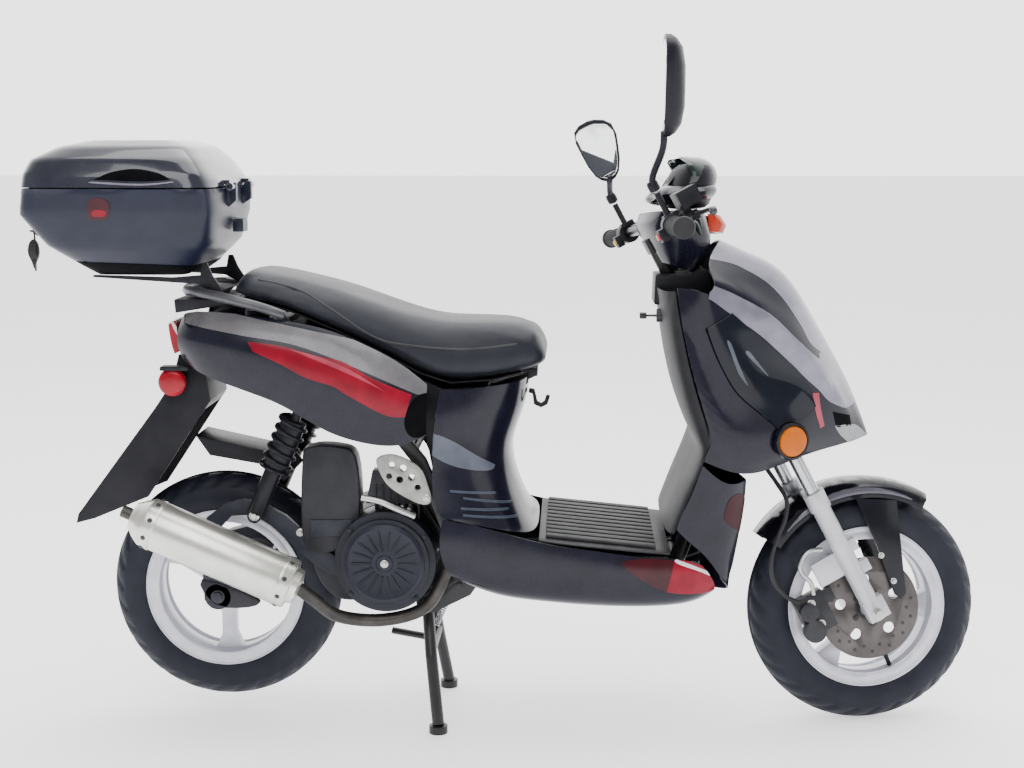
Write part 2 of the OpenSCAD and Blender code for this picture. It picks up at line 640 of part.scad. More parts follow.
// Right side panel, from the tail forward; each row runs from its top edge to its bottom edge.
side_rows = [
    [[-572, 98, 764], [-580, 116, 740], [-582, 120, 714], [-574, 112, 688]],
    [[-545, 118, 770], [-546, 146, 742], [-546, 150, 705], [-541, 130, 664]],
    [[-470, 138, 768], [-470, 166, 734], [-470, 170, 690], [-470, 152, 640]],
    [[-388, 150, 758], [-388, 178, 722], [-388, 182, 664], [-388, 164, 612]],
    [[-310, 155, 744], [-310, 183, 702], [-310, 187, 632], [-310, 172, 566]],
    [[-235, 158, 713], [-235, 186, 672], [-235, 190, 604], [-235, 176, 545]],
    [[-180, 160, 684], [-180, 185, 644], [-180, 188, 592], [-180, 176, 543]],
    [[-134, 162, 648], [-134, 176, 624], [-134, 178, 588], [-136, 172, 560]]];

module side_panel_left() { color("#1d1e24") skin(side_rows, -panel_t, 2, 2); }
module side_panel_right() { color("#1d1e24") mirror([0, 1, 0]) skin(side_rows, -panel_t, 2, 2); }

module tail_light() {
    color("red") loft([for (s = [[94, 0], [60, 8], [0, 12], [-60, 8], [-94, 0]])
        [[-594, s[0], 752], [-606 - s[1], s[0], 746], [-602 - s[1], s[0], 712], [-596, s[0], 692],
            [-588, s[0], 696], [-590, s[0], 748]]], 2, 1, true);
}

// ---------- frame ----------

floor_rail = [[318, 296], [270, 288], [-40, 292], [-92, 360], [-116, 420]];
seat_rail = [[-104, 390], [-150, 500], [-220, 590], [-360, 650], [-560, 722]];

// Side view of the plate that carries the engine's front bush and the centre stand.
bracket_outline = [
    [-36, 298], [-36, 284], [-64, 244], [-132, 210], [-164, 210], [-164, 240], [-130, 252], [-96, 298]];

module frame() {
    color("#26272b") difference() {
        union() {
            translate(steer_point) rotate([0, -rake, 0]) translate([0, 0, -362]) cylinder(h = 252, r = 25, $fn = 48);
            pipe([[368, 0, 642], [366, 0, 500], [334, 0, 340], [318, 0, 296]], 15);
            across([312, 0, 295], -130, 130, 8);
            across([-40, 0, 292], -130, 130, 8);
            across([-165, 0, 519], -110, 110, 8);
            across([-545, 0, 717], -110, 110, 8);
            both_sides() {
                rail(floor_rail, 11, 118, 142);
                rail(seat_rail, 11, 100, 122);
                plate(bracket_outline, 66, 74);
                plate([[-384, 648], [-350, 656], [-353, 592], [-376, 588]], 97, 105);
            }
        }
        translate(steer_point) rotate([0, -rake, 0]) {
            translate([0, 0, -334]) cylinder(h = 196, r = 20, $fn = 48);
            translate([0, 0, -400]) cylinder(h = 320, r = stem_r + run_gap, $fn = 48);
        }
        across(swing_pivot, -90, 90, 6);
        across(stand_pivot, -90, 90, 6 + run_gap);
        across(shock_top, -140, 140, 5);
    }
    color("silver") {
        across(swing_pivot, -78, 78, 6);
        both_sides() across(shock_top, 94, 134, 5);
    }
}

module helmet_bucket() {
    outer = [[-385, 752], [-385, 640], [-230, 606], [-150, 590], [-128, 472], [-34, 470], [-26, 636],
        [-112, 630], [-200, 676], [-300, 724]];
    inner = [[-381, 760], [-381, 643], [-230, 610], [-147, 594], [-125, 476], [-38, 474], [-30, 660],
        [-112, 660], [-200, 700], [-300, 750]];
    color("#2c2d31") {
        difference() {
            plate(outer, -96, 96);
            plate(inner, -92, 92);
        }
        difference() {
            plate([[-34, 612], [-26, 612], [34, 636], [58, 647], [58, 662], [44, 662], [40, 652], [-34, 628]], -24, 24);
            across(seat_pivot, -30, 30, 4 + run_gap);
        }
    }
}

module fuel_tank() {
    color("#3a3b40") difference() {
        plate([[-520, 742], [-520, 660], [-400, 648], [-400, 752]], -96, 96);
        plate([[-516, 738], [-516, 664], [-404, 652], [-404, 748]], -92, 92);
        translate([-458, 0, 738]) cylinder(h = 20, r = 18 + run_gap, $fn = 32);
    }
}

module fuel_cap() {
    color("#1b1c20") translate([-458, 0, 0]) {
        translate([0, 0, 740]) cylinder(h = 12, r = 18, $fn = 32);
        translate([0, 0, 752]) cylinder(h = 12, r = 26, $fn = 32);
        translate([-22, -3, 764]) cube([44, 6, 5]);
    }
}

module bag_hook() {
    color("#1b1c20") translate([0, -6, 0]) {
        plate([[40.6, 612], [48, 610], [51, 590], [64, 584], [76, 590], [81, 606], [74, 608], [70, 596],
            [64, 592], [57, 596], [52, 618], [42, 620]], 0, 12);
    }
}

// ---------- seat ----------

pad_rings = [
    pad_ring(-491, 84, 100, 818, 808, 799),
    pad_ring(-474, 108, 124, 838, 812, 797),
    pad_ring(-440, 114, 132, 838, 806, 792),
    pad_ring(-385, 118, 138, 827, 793, 779),
    pad_ring(-300, 122, 143, 806, 765, 744),
    pad_ring(-220, 122, 145, 778, 734, 706),
    pad_ring(-150, 118, 145, 756, 710, 668),
    pad_ring(-95, 112, 142, 748, 702, 650),
    pad_ring(-20, 105, 134, 748, 704, 655),
    pad_ring(42, 96, 122, 744, 708, 668),
    pad_ring(66, 86, 110, 728, 702, 674),
    pad_ring(80, 66, 90, 706, 692, 678)];

module seat_pad() { color("#24262c") loft(pad_rings, 2, 1); }

module seat_base() {
    rows = [for (s = [
        [-470, 88, 794.5], [-385, 112, 775.5], [-300, 116, 740.5], [-220, 118, 702.5], [-150, 118, 664.5],
        [-95, 116, 646.5], [-20, 110, 651.5], [30, 96, 662.5]])
        [[s[0], -s[1], s[2]], [s[0], 0, s[2]], [s[0], s[1], s[2]]]];
    color("#17181b") {
        skin(rows, panel_t, 1, 1);
        for (y = [-50, 26]) {
            translate([22, y, 656]) cube([30, 24, 6]);
            translate([seat_pivot.x - 8, y, seat_pivot.z - 6]) cube([16, 24, 14]);
        }
        across(seat_pivot, -49, 49, 4);
    }
}

// ---------- tail, rack and top case ----------

rail_loop = [
    [-386, 147, 768], [-430, 152, 784], [-486, 146, 797], [-540, 122, 806], [-572, 80, 806], [-584, 0, 806]];
rail_r = 9;
rail_foot = [-386, 116, 752];

module grab_rail() {
    color("gray") {
        sweep(both(rail_loop), rail_r, 20, [0.02, 0, 1]);
        both_sides() rod(rail_loop[0] + [-5, 0, 1], rail_foot, rail_r - 2.5);
    }
}

module case_rack() {
    color("#17181b") {
        plate([[-588, 768], [-490, 784], [-490, 792], [-590, 792]], -110, 110);
        plate([[-566, 791], [-530, 788], [-510, 806], [-566, 811]], -60, 60);
        both_sides() plate([[-735, 832], [-600, 824], [-545, 820], [-528, 812], [-500, 786], [-484, 786],
            [-500, 806], [-519, 836], [-528, 858], [-537, 858], [-541, 836], [-590, 832], [-732, 836]], 108, 113);
    }
}

// Level sections of the case, each [height, middle X, half length, half width, corner].
case_profile = [
    [836.5, -650, 84, 112, 30], [850, -650, 102, 136, 34], [890, -660, 149, 176, 40],
    [945, -674, 178, 196, 44], [990, -672, 174, 200, 46]];
lid_profile = [
    [992, -672, 175, 201, 46], [1015, -676, 168, 198, 46], [1040, -680, 154, 184, 46],
    [1062, -670, 122, 156, 44], [1074, -662, 80, 112, 38]];

// Rings of a profile pulled in by wall, with its first and last heights moved.
function case_rings(profile, wall, first_move, last_move) = [
    for (i = [0 : len(profile) - 1]) let (
        p = profile[i],
        move = i == 0 ? first_move : i == len(profile) - 1 ? last_move : 0)
    case_ring(p[0] + move, p[1], p[2] - wall, p[3] - wall, p[4] - wall)];

module case_base() {
    color("#22242c") {
        difference() {
            loft(case_rings(case_profile, 0, 0, 0), 1, 1, true);
            loft(case_rings(case_profile, case_wall, case_wall, 1), 1, 1, true);
        }
        translate([-870, 0, key_pivot.z]) rotate([0, 90, 0]) cylinder(h = 24, r = 9, $fn = 32);
        translate([-882, 0, key_pivot.z]) rotate([0, 90, 0]) cylinder(h = 14, r = 2, $fn = 24);
        both_sides() {
            plate([[-502, 952], [-481, 966], [-481, 999], [-489, 999], [-494, 995], [-495.5, 991], [-502, 986]], 60, 74);
        }
        across(lid_pivot, 62, 95, 4);
        across(lid_pivot, -95, -62, 4);
        translate([-500, -22, 908]) cube([20, 44, 24]);
    }
}

module case_lid() {
    color("#2a2c34") {
        difference() {
            loft(case_rings(lid_profile, 0, 0, 0), 1, 1, true);
            loft(case_rings(lid_profile, case_wall, -1, -case_wall), 1, 1, true);
        }
        both_sides() difference() {
            union() {
                across(lid_pivot, 76, 96, 7.4);
                translate([-502, 76, 996]) cube([14, 20, 8]);
            }
            across(lid_pivot, 70, 100, 4 + run_gap);
        }
    }
}

// Keys hanging from the lock's stub by a flat eye.
module case_keys() {
    color("#2b2b2b") translate(key_pivot) {
        difference() {
            union() {
                rotate([0, 90, 0]) translate([0, 0, -1.5]) cylinder(h = 3, r = 6, $fn = 32);
                translate([-1.5, -2, -26]) cube([3, 4, 22]);
            }
            rotate([0, 90, 0]) translate([0, 0, -5]) cylinder(h = 10, r = 2 + run_gap, $fn = 24);
        }
        translate([-4, -11, -50]) cube([8, 22, 26]);
        translate([-1, -4, -74]) cube([2, 8, 25]);
    }
}

module rear_mudguard() {
    outer = [[-594, 688], [-550, 688], [-538, 604], [-594, 520], [-658, 424], [-760, 382], [-794, 373],
        [-790, 390], [-640, 590], [-606, 640]];
    inner = [[-586, 692], [-558, 692], [-546, 600], [-575, 480], [-650, 390], [-760, 350], [-812, 345],
        [-786, 386], [-634, 588], [-599, 640]];
    color("#15161a") difference() {
        plate(outer, -72, 72);
        plate(inner, -69, 69);
    }
}

// ---------- engine unit ----------

module crankcase() {
    color("#3d3f45") difference() {
        union() {
            across(crank, -52, 98, 92);
            plate([[-280, 250], [-190, 252], [-120, 252], [-92, 244], [-68, 252], [-68, 278], [-110, 298], [-200, 330]], -48, 50);
            across(swing_pivot, -56, 56, 17);
            plate([[-550, 200], [-490, 196], [-230, 236], [-170, 320], [-230, 404], [-490, 300], [-550, 290]], 56, 98);
            across(rear_axle, 50, 98, 44);
            translate([-466, 56, 296]) cube([30, 42, 112]);
        }
        across(swing_pivot, -60, 60, 6 + run_gap);
        across(shock_foot, 40, 140, 5 + run_gap);
        across(crank, -60, 90, 12 + run_gap);
    }
    color("silver") across(rear_axle, -112, 60, 10);
    color("silver") across(shock_foot, 50, 132, 5);
    color("silver") across(shock_foot, -132, -78, 5);
}

module belt_cover() {
    rear = [rear_axle.x, 0, rear_axle.z + 12];
    color("#4a4c52") {
        hull() {
            across(crank, 98.4, 140, 88);
            across(rear, 98.4, 134, 66);
        }
        across(crank, 139, 147, 60);
        across([-320, 0, 300], 139, 145, 26);
    }
}

cylinder_lean = 58;

module cylinder_head() {
    color("#2c2d32") difference() {
        translate(crank) rotate([0, cylinder_lean, 0]) {
            translate([-44, -50, 82]) cube([88, 100, 8]);
            for (k = [0 : 5]) translate([-52, -58, 98 + 11 * k]) cube([104, 116, 5]);
            translate([-36, -42, 84]) cube([72, 84, 92]);
            translate([-40, -46, 158]) cube([80, 92, 26]);
        }
        across(crank, -70, 110, 92 + gap);
    }
    color("#2c2d32") {
        plate([[-252, 420], [-160, 420], [-156, 446], [-196, 482], [-240, 480]], -96, -60);
        across([-196, 0, 470], -130, -90, 10);
    }
    color("silver") across([-180, 0, 478], -148, -128, 34);
}

module fan_shroud() {
    color("#33353b") difference() {
        union() {
            across(crank, -132, -60, shroud_r + 12);
            across(crank, -140, -131, shroud_r);
        }
        across(crank, -128, -40, shroud_r + 8);
        for (k = [0 : 11]) translate(crank) rotate([0, 30 * k, 0]) translate([44, -150, -5]) cube([26, 40, 10]);
    }
}

module cooling_fan() {
    color("#55575d") {
        across(crank, -70, -64, 70);
        across(crank, -112, 80, 12);
        for (k = [0 : 11]) translate(crank) rotate([0, 30 * k, 0]) translate([36, -108, -2]) cube([32, 40, 4]);
    }
}

muffler_tail = [-631, -186, 404];
muffler_nose = [-376, -186, 292];

module exhaust() {
    v = unit(muffler_nose - muffler_tail);
    color("silver") {
        difference() {
            rod(muffler_tail, muffler_nose, muffler_r);
            rod(muffler_tail + 4 * v, muffler_nose - 4 * v, muffler_r - 3);
        }
        rod(muffler_tail - 26 * v, muffler_tail + 2 * v, muffler_r - 12);
        rod(muffler_tail - 48 * v, muffler_tail - 20 * v, 11);
        rod(muffler_nose - 1 * v, muffler_nose + 16 * v, muffler_r - 14);
        pipe([muffler_nose + 10 * v, [-342, -168, 262], [-300, -130, 218], [-220, -110, 206],
            [-144, -104, 230], [-104, -102, 300], [-92, -84, 350], [-90, -30, 356]], 12);
    }
}

// Arched arm from the crankcase past the right shock's foot and down to the axle.
arm_outline = [
    [-307, 320], [-322, 330], [-356, 356], [-398, 396], [-442, 420], [-476, 426], [-510, 418],
    [-544, 392], [-556, 340], [-552, 236], [-504, 232], [-510, 330], [-520, 372], [-498, 396],
    [-464, 398], [-434, 386], [-398, 352], [-362, 318], [-326, 290], [-302, 284]];

module swing_arm() {
    color("#4a4c52") difference() {
        union() {
            plate(arm_outline, -101.4, -88);
            across(rear_axle, -104, -86, 24);
        }
        across(rear_axle, -140, -60, 10 + run_gap);
        across(shock_foot, -140, -60, 5 + run_gap);
    }
}

module rear_hugger() {
    color("#15161a") {
        plate([[-572, 535], [-410, 500], [-410, 494], [-546, 500], [-550, 518]], -50, 50);
        both_sides() plate([[-570, 534], [-412, 499.5], [-390, 470], [-410, 450], [-436, 480], [-546, 499]], 48, 53);
    }
}

module kick_starter() {
    color("silver") {
        translate([-290, 0, 285]) rotate([-90, 0, 0]) translate([0, 0, 150]) cylinder(h = 16, r = 9, $fn = 24);
        rod([-290, 160, 285], [-430, 168, 250], 6);
        rod([-430, 168, 250], [-430, 218, 250], 9);
    }
}

// ---------- shock absorbers ----------

// Frame of a shock: local z along it, up from its lower eye.
module on_shock(side) {
    translate([shock_foot.x, side * shock_y, shock_foot.z]) rotate([0, shock_lean, 0]) children();
}

module shock_upper() {
    color("#17181b") for (side = [-1, 1]) on_shock(side) difference() {
        union() {
            translate([0, 0, 92]) cylinder(h = shock_length - 118, r = 23, $fn = 40);
            translate([0, 0, 92]) cylinder(h = shock_length - 96, r = 9, $fn = 32);
            translate([0, -11, shock_length]) rotate([-90, 0, 0]) cylinder(h = 22, r = 13, $fn = 32);
        }
        translate([0, 0, 80]) cylinder(h = shock_length - 116, r = 19, $fn = 40);
        translate([0, -12, shock_length]) rotate([-90, 0, 0]) cylinder(h = 24, r = 5 + run_gap, $fn = 24);
    }
}

module shock_lower() {
    color("#303238") for (side = [-1, 1]) on_shock(side) difference() {
        union() {
            translate([0, -11, 0]) rotate([-90, 0, 0]) cylinder(h = 22, r = 13, $fn = 32);
            translate([0, 0, 4]) cylinder(h = 126, r = 16, $fn = 40);
        }
        translate([0, -20, 0]) rotate([-90, 0, 0]) cylinder(h = 40, r = 5.9, $fn = 24);
    }
}

// ---------- centre stand ----------

module centre_stand() {
    color("#17181b") difference() {
        union() {
            across(stand_pivot, -54, 54, 13);
            both_sides() {
                pipe([[-147, 40, 228], [-136, 84, 130], [-120, foot_y, 14]], 11);
                translate([-120, foot_y, 0]) cylinder(h = 14, r = 17, $fn = 32);
            }
            rod([-137, -80, 136], [-137, 80, 136], 9);
            pipe([[-131, 102, 90], [-150, 150, 92], [-236, 160, 104]], 7);
        }
        across(stand_pivot, -60, 60, 6 + run_gap);
    }
    color("silver") across(stand_pivot, -78, 78, 6);
}

module stand_spring() {
    color("gray") rod([-140, 30, 148], [-110, 30, 214], 6);
}

frame();
leg_shield();
front_apron();
lower_cowl();
headlight();
turn_signals();
floorboard();
belly_pan();
under_seat_panel();
side_panel_right();
side_panel_left();
tail_light();
grab_rail();
case_rack();
rear_mudguard();
helmet_bucket();
fuel_tank();
bag_hook();
case_base();
seat_pad();
seat_base();
case_lid();
case_keys();
ignition_key();
fuel_cap();
centre_stand();
stand_spring();
steering_stem();
handlebar();
handlebar_cover();
instrument_pod();
left_grip();
throttle_grip();
brake_perches();
right_brake_lever();
left_brake_lever();
right_mirror();
left_mirror();
starter_button();
horn_button();
fork_lowers();
front_fender();
brake_caliper();
brake_hose();
front_tyre();
front_rim();
brake_disc();
crankcase();
belt_cover();
cylinder_head();
fan_shroud();
cooling_fan();
exhaust();
kick_starter();
swing_arm();
rear_hugger();
rear_tyre();
rear_rim();
shock_upper();
shock_lower();
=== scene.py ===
"""Looks of the moped scooter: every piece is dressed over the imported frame, in metres."""

import json
from math import acos, atan2, cos, degrees, pi, radians, sin, sqrt

import bmesh
import bpy
from mathutils import Matrix, Vector
from mathutils.bvhtree import BVHTree
from mathutils.geometry import delaunay_2d_cdt
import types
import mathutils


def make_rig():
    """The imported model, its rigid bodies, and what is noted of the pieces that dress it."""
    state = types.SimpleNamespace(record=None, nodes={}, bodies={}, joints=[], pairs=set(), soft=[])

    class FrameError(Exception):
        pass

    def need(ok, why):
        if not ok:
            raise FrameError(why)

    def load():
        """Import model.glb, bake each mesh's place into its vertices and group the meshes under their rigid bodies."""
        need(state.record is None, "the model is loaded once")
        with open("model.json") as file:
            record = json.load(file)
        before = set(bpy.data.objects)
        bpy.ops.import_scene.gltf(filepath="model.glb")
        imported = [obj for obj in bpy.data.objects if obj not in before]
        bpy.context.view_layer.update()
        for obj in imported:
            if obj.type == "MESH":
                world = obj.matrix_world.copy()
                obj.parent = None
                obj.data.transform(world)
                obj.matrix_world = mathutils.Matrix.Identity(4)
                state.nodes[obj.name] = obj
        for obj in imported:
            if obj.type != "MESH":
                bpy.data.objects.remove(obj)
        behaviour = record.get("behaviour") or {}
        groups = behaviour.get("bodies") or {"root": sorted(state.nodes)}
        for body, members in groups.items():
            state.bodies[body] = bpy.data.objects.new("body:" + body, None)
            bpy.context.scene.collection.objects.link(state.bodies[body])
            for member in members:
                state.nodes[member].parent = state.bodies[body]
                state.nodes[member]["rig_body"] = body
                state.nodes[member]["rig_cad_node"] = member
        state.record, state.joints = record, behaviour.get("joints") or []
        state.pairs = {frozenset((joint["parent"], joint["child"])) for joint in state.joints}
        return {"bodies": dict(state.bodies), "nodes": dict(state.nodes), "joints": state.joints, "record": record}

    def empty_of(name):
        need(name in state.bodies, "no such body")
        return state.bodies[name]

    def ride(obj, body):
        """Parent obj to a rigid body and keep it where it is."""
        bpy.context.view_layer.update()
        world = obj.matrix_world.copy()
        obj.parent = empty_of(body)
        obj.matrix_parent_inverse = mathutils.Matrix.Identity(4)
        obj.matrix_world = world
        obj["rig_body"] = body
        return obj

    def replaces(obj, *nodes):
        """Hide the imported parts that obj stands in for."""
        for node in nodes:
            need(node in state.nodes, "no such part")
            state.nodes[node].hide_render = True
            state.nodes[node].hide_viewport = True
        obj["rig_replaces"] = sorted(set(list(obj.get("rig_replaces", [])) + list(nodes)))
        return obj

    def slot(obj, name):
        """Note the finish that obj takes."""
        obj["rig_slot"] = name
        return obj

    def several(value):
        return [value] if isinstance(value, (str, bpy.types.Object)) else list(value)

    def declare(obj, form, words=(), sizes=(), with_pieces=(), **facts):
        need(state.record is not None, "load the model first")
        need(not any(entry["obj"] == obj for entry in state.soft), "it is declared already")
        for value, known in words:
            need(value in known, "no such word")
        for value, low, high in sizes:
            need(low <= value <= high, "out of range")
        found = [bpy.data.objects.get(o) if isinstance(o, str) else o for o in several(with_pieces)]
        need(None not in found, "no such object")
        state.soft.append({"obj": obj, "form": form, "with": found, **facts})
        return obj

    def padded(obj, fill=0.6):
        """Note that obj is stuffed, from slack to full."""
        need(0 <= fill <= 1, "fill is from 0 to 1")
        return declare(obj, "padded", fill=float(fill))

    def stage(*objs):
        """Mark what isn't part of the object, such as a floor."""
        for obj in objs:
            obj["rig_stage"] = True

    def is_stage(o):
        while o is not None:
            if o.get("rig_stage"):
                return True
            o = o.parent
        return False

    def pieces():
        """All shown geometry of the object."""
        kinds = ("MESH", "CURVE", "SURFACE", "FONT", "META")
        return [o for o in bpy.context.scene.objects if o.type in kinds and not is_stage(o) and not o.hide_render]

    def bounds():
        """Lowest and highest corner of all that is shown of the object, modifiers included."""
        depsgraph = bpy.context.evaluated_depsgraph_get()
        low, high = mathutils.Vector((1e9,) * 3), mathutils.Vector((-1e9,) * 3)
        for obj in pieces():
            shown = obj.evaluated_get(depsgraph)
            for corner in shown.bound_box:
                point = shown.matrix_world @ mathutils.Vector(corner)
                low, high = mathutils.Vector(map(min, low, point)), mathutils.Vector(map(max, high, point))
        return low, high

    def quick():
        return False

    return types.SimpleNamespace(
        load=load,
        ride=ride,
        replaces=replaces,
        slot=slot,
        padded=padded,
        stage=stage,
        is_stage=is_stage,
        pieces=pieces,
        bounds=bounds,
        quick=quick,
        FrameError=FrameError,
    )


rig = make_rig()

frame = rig.load()
cad_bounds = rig.bounds()
NODES = frame["nodes"]
JOINTS = {j["name"]: j for j in frame["joints"]}
SLOT = {s["node"]: s["material_slot"] for s in frame["record"]["subparts"]}
MM = 0.001

# ---------- places taken from the frame, in mm ----------

STEER_POINT = Vector(JOINTS["steering_turn"]["pos_m"]) * 1000
STEER_AXIS = Vector(JOINTS["steering_turn"]["axis"]).normalized()
FRONT_AXLE = Vector(JOINTS["front_wheel_spin"]["pos_m"]) * 1000
FRONT_AXIS = Vector(JOINTS["front_wheel_spin"]["axis"]).normalized()
REAR_AXLE = Vector(JOINTS["rear_wheel_spin"]["pos_m"]) * 1000
CRANK = Vector(JOINTS["crankshaft_spin"]["pos_m"]) * 1000
TURN = atan2(Vector((0, 1, 0)).cross(FRONT_AXIS).dot(STEER_AXIS), Vector((0, 1, 0)).dot(FRONT_AXIS))
RAKE = acos(STEER_AXIS.z)
STRAIGHT = Matrix.Rotation(-RAKE, 3, "Y")
LOCAL = STRAIGHT @ Matrix.Rotation(TURN, 3, "Z")
BACK_TO_REST = Matrix.Rotation(TURN, 3, STEER_AXIS)


def steer(x, y, z):
    """A point of the steering's own frame, z along its axis."""
    return STEER_POINT + LOCAL @ Vector((x, y, z))


def turned(x, y, z):
    """A point given with the steering straight ahead."""
    return STEER_POINT + BACK_TO_REST @ (Vector((x, y, z)) - STEER_POINT)


def straight(p):
    """Where a point of the steering lies with the steering straight ahead."""
    return STEER_POINT + BACK_TO_REST.inverted() @ (p - STEER_POINT)


# ---------- materials ----------

MATERIALS = {}


def add_node(tree, kind, **inputs):
    """A new shader node with its inputs set; an underscore in an input's name stands for a space."""
    node = tree.nodes.new("ShaderNode" + kind)
    set_inputs(node, **inputs)
    return node


def set_inputs(node, **inputs):
    """Sets a shader node's inputs by name."""
    for name, value in inputs.items():
        node.inputs[name.replace("_", " ")].default_value = value


def material(name, low, high, rough, metal=0.0, coat=0.0, scale=30.0, bump=0.0, grain=400.0,
        spread=0.08, emission=0.0, sheen=0.0, flecks=0.0, shine=0.35):
    """A procedural finish: colour between low and high, mottled roughness and fine bump."""
    m = bpy.data.materials.new(name)
    m.use_nodes = True
    tree = m.node_tree
    link = tree.links.new
    shader = tree.nodes["Principled BSDF"]
    place = add_node(tree, "TexCoord").outputs["Object"]
    noise = add_node(tree, "TexNoise", Scale=scale, Detail=5)
    ramp = add_node(tree, "ValToRGB")
    for end, position, tone in zip(ramp.color_ramp.elements, (0.3, 0.7), (low, high)):
        end.position = position
        end.color = (*tone, 1)
    link(place, noise.inputs["Vector"])
    link(noise.outputs["Fac"], ramp.inputs["Fac"])
    colour = ramp.outputs["Color"]
    if flecks:
        cells = add_node(tree, "TexVoronoi", Scale=900)
        light = add_node(tree, "MapRange", To_Min=1 - flecks, To_Max=1 + flecks)
        mix = add_node(tree, "VectorMath")
        mix.operation = "MULTIPLY"
        link(place, cells.inputs["Vector"])
        link(cells.outputs["Color"], light.inputs["Value"])
        link(colour, mix.inputs[0])
        link(light.outputs["Result"], mix.inputs[1])
        colour = mix.outputs["Vector"]
    link(colour, shader.inputs["Base Color"])
    wear = add_node(tree, "MapRange", To_Min=max(0.02, rough - spread), To_Max=min(1.0, rough + spread))
    smudge = add_node(tree, "TexNoise", Scale=scale * 0.4, Detail=6)
    link(place, smudge.inputs["Vector"])
    link(smudge.outputs["Fac"], wear.inputs["Value"])
    link(wear.outputs["Result"], shader.inputs["Roughness"])
    if bump:
        fine = add_node(tree, "TexNoise", Scale=grain, Detail=4)
        raised = add_node(tree, "Bump", Strength=bump, Distance=0.001)
        link(place, fine.inputs["Vector"])
        link(fine.outputs["Fac"], raised.inputs["Height"])
        link(raised.outputs["Normal"], shader.inputs["Normal"])
    set_inputs(shader, Metallic=metal, Coat_Weight=coat, Coat_Roughness=0.04, IOR=1.5,
        Specular_IOR_Level=shine, Sheen_Weight=sheen)
    if emission:
        link(colour, shader.inputs["Emission Color"])
        set_inputs(shader, Emission_Strength=emission)
    MATERIALS[name] = m
    return m


material("body_gloss", (0.004, 0.004, 0.010), (0.008, 0.008, 0.017), 0.19, flecks=0.3, shine=0.28)
# Painted reflection: a lighter lilac tone for the sky seen in the gloss black panels; the case lid's thin line uses it
# too.
material("panel_band", (0.15, 0.145, 0.19), (0.21, 0.205, 0.25), 0.28, metal=0.35, coat=0.2, flecks=0.1)
# Painted sheen: the upper face of the side panels made lighter where it faces the sky.
material("top_face", (0.10, 0.095, 0.105), (0.14, 0.135, 0.14), 0.28, metal=0.2, coat=0.2, flecks=0.1)
material("graphic_red", (0.15, 0.001, 0.010), (0.24, 0.002, 0.016), 0.22, shine=0.25)
material("graphic_dark", (0.022, 0.001, 0.003), (0.045, 0.002, 0.006), 0.2, shine=0.3)
# Pink for the nose stripe, and for the painted highlight along the red spear.
material("graphic_pink", (0.26, 0.025, 0.045), (0.36, 0.05, 0.075), 0.25)
# Painted highlight: white lines on the red belly graphic and the tail light lens.
material("graphic_light", (0.55, 0.53, 0.55), (0.68, 0.65, 0.67), 0.25, coat=0.5)
# Painted highlight: a lighter blade-shaped patch on the panel under the seat.
material("blade_grey", (0.06, 0.067, 0.09), (0.09, 0.10, 0.13), 0.25)
material("beak_light", (0.20, 0.21, 0.22), (0.28, 0.29, 0.30), 0.3)
material("patch_red", (0.022, 0.001, 0.003), (0.036, 0.002, 0.005), 0.3, shine=0.2)
# Painted reflection: the softbox seen along the gloss black front fender.
material("fender_light", (0.075, 0.072, 0.09), (0.105, 0.10, 0.125), 0.25, metal=0.3)
material("grey_trim", (0.016, 0.016, 0.019), (0.026, 0.026, 0.029), 0.5, bump=0.25, grain=900, shine=0.12)
material("floor_grey", (0.022, 0.022, 0.025), (0.034, 0.034, 0.037), 0.5, bump=0.25, grain=800, shine=0.2)
material("mat_rubber", (0.035, 0.035, 0.037), (0.055, 0.055, 0.057), 0.62, bump=0.3, grain=700, shine=0.2)
material("smoked_lens", (0.002, 0.003, 0.007), (0.004, 0.006, 0.012), 0.08, shine=0.3)
# Painted reflection: light streaks of the studio on the smoked headlight lens.
material("streak", (0.05, 0.06, 0.075), (0.09, 0.10, 0.12), 0.15)
material("visor", (0.004, 0.010, 0.010), (0.010, 0.020, 0.018), 0.08, coat=0.4)
material("signal_lens", (0.42, 0.085, 0.001), (0.52, 0.115, 0.002), 0.2, emission=0.05, shine=0.2)
material("red_lens", (0.22, 0.002, 0.010), (0.34, 0.004, 0.016), 0.18, shine=0.3)
material("marker_orange", (0.36, 0.022, 0.008), (0.46, 0.04, 0.014), 0.22, shine=0.2)
material("rail_grey", (0.055, 0.055, 0.062), (0.085, 0.085, 0.092), 0.3, metal=0.5)
material("black_plastic", (0.006, 0.006, 0.009), (0.011, 0.011, 0.015), 0.42, bump=0.3, grain=1100,
    shine=0.2)
material("louvre", (0.030, 0.036, 0.055), (0.048, 0.055, 0.080), 0.3)
material("oval_silver", (0.20, 0.20, 0.19), (0.34, 0.34, 0.32), 0.36, metal=0.6, bump=0.15)
material("grille", (0.001, 0.001, 0.002), (0.004, 0.004, 0.005), 0.6, bump=0.5, grain=500, shine=0.03)
material("black_gloss", (0.003, 0.003, 0.006), (0.007, 0.007, 0.011), 0.16, shine=0.25)
material("case_plastic", (0.006, 0.008, 0.020), (0.010, 0.012, 0.028), 0.32, bump=0.15, grain=1000,
    shine=0.3)
material("case_gloss", (0.010, 0.011, 0.020), (0.018, 0.019, 0.030), 0.15, coat=0.5, flecks=0.15, shine=0.4)
material("seat_vinyl", (0.006, 0.007, 0.013), (0.010, 0.011, 0.019), 0.42, bump=0.5, grain=650,
    sheen=0.02, shine=0.28)
material("thread", (0.02, 0.02, 0.024), (0.035, 0.035, 0.04), 0.6, bump=0.4, grain=1500)
material("key_metal", (0.42, 0.42, 0.43), (0.52, 0.52, 0.53), 0.28, metal=1.0)
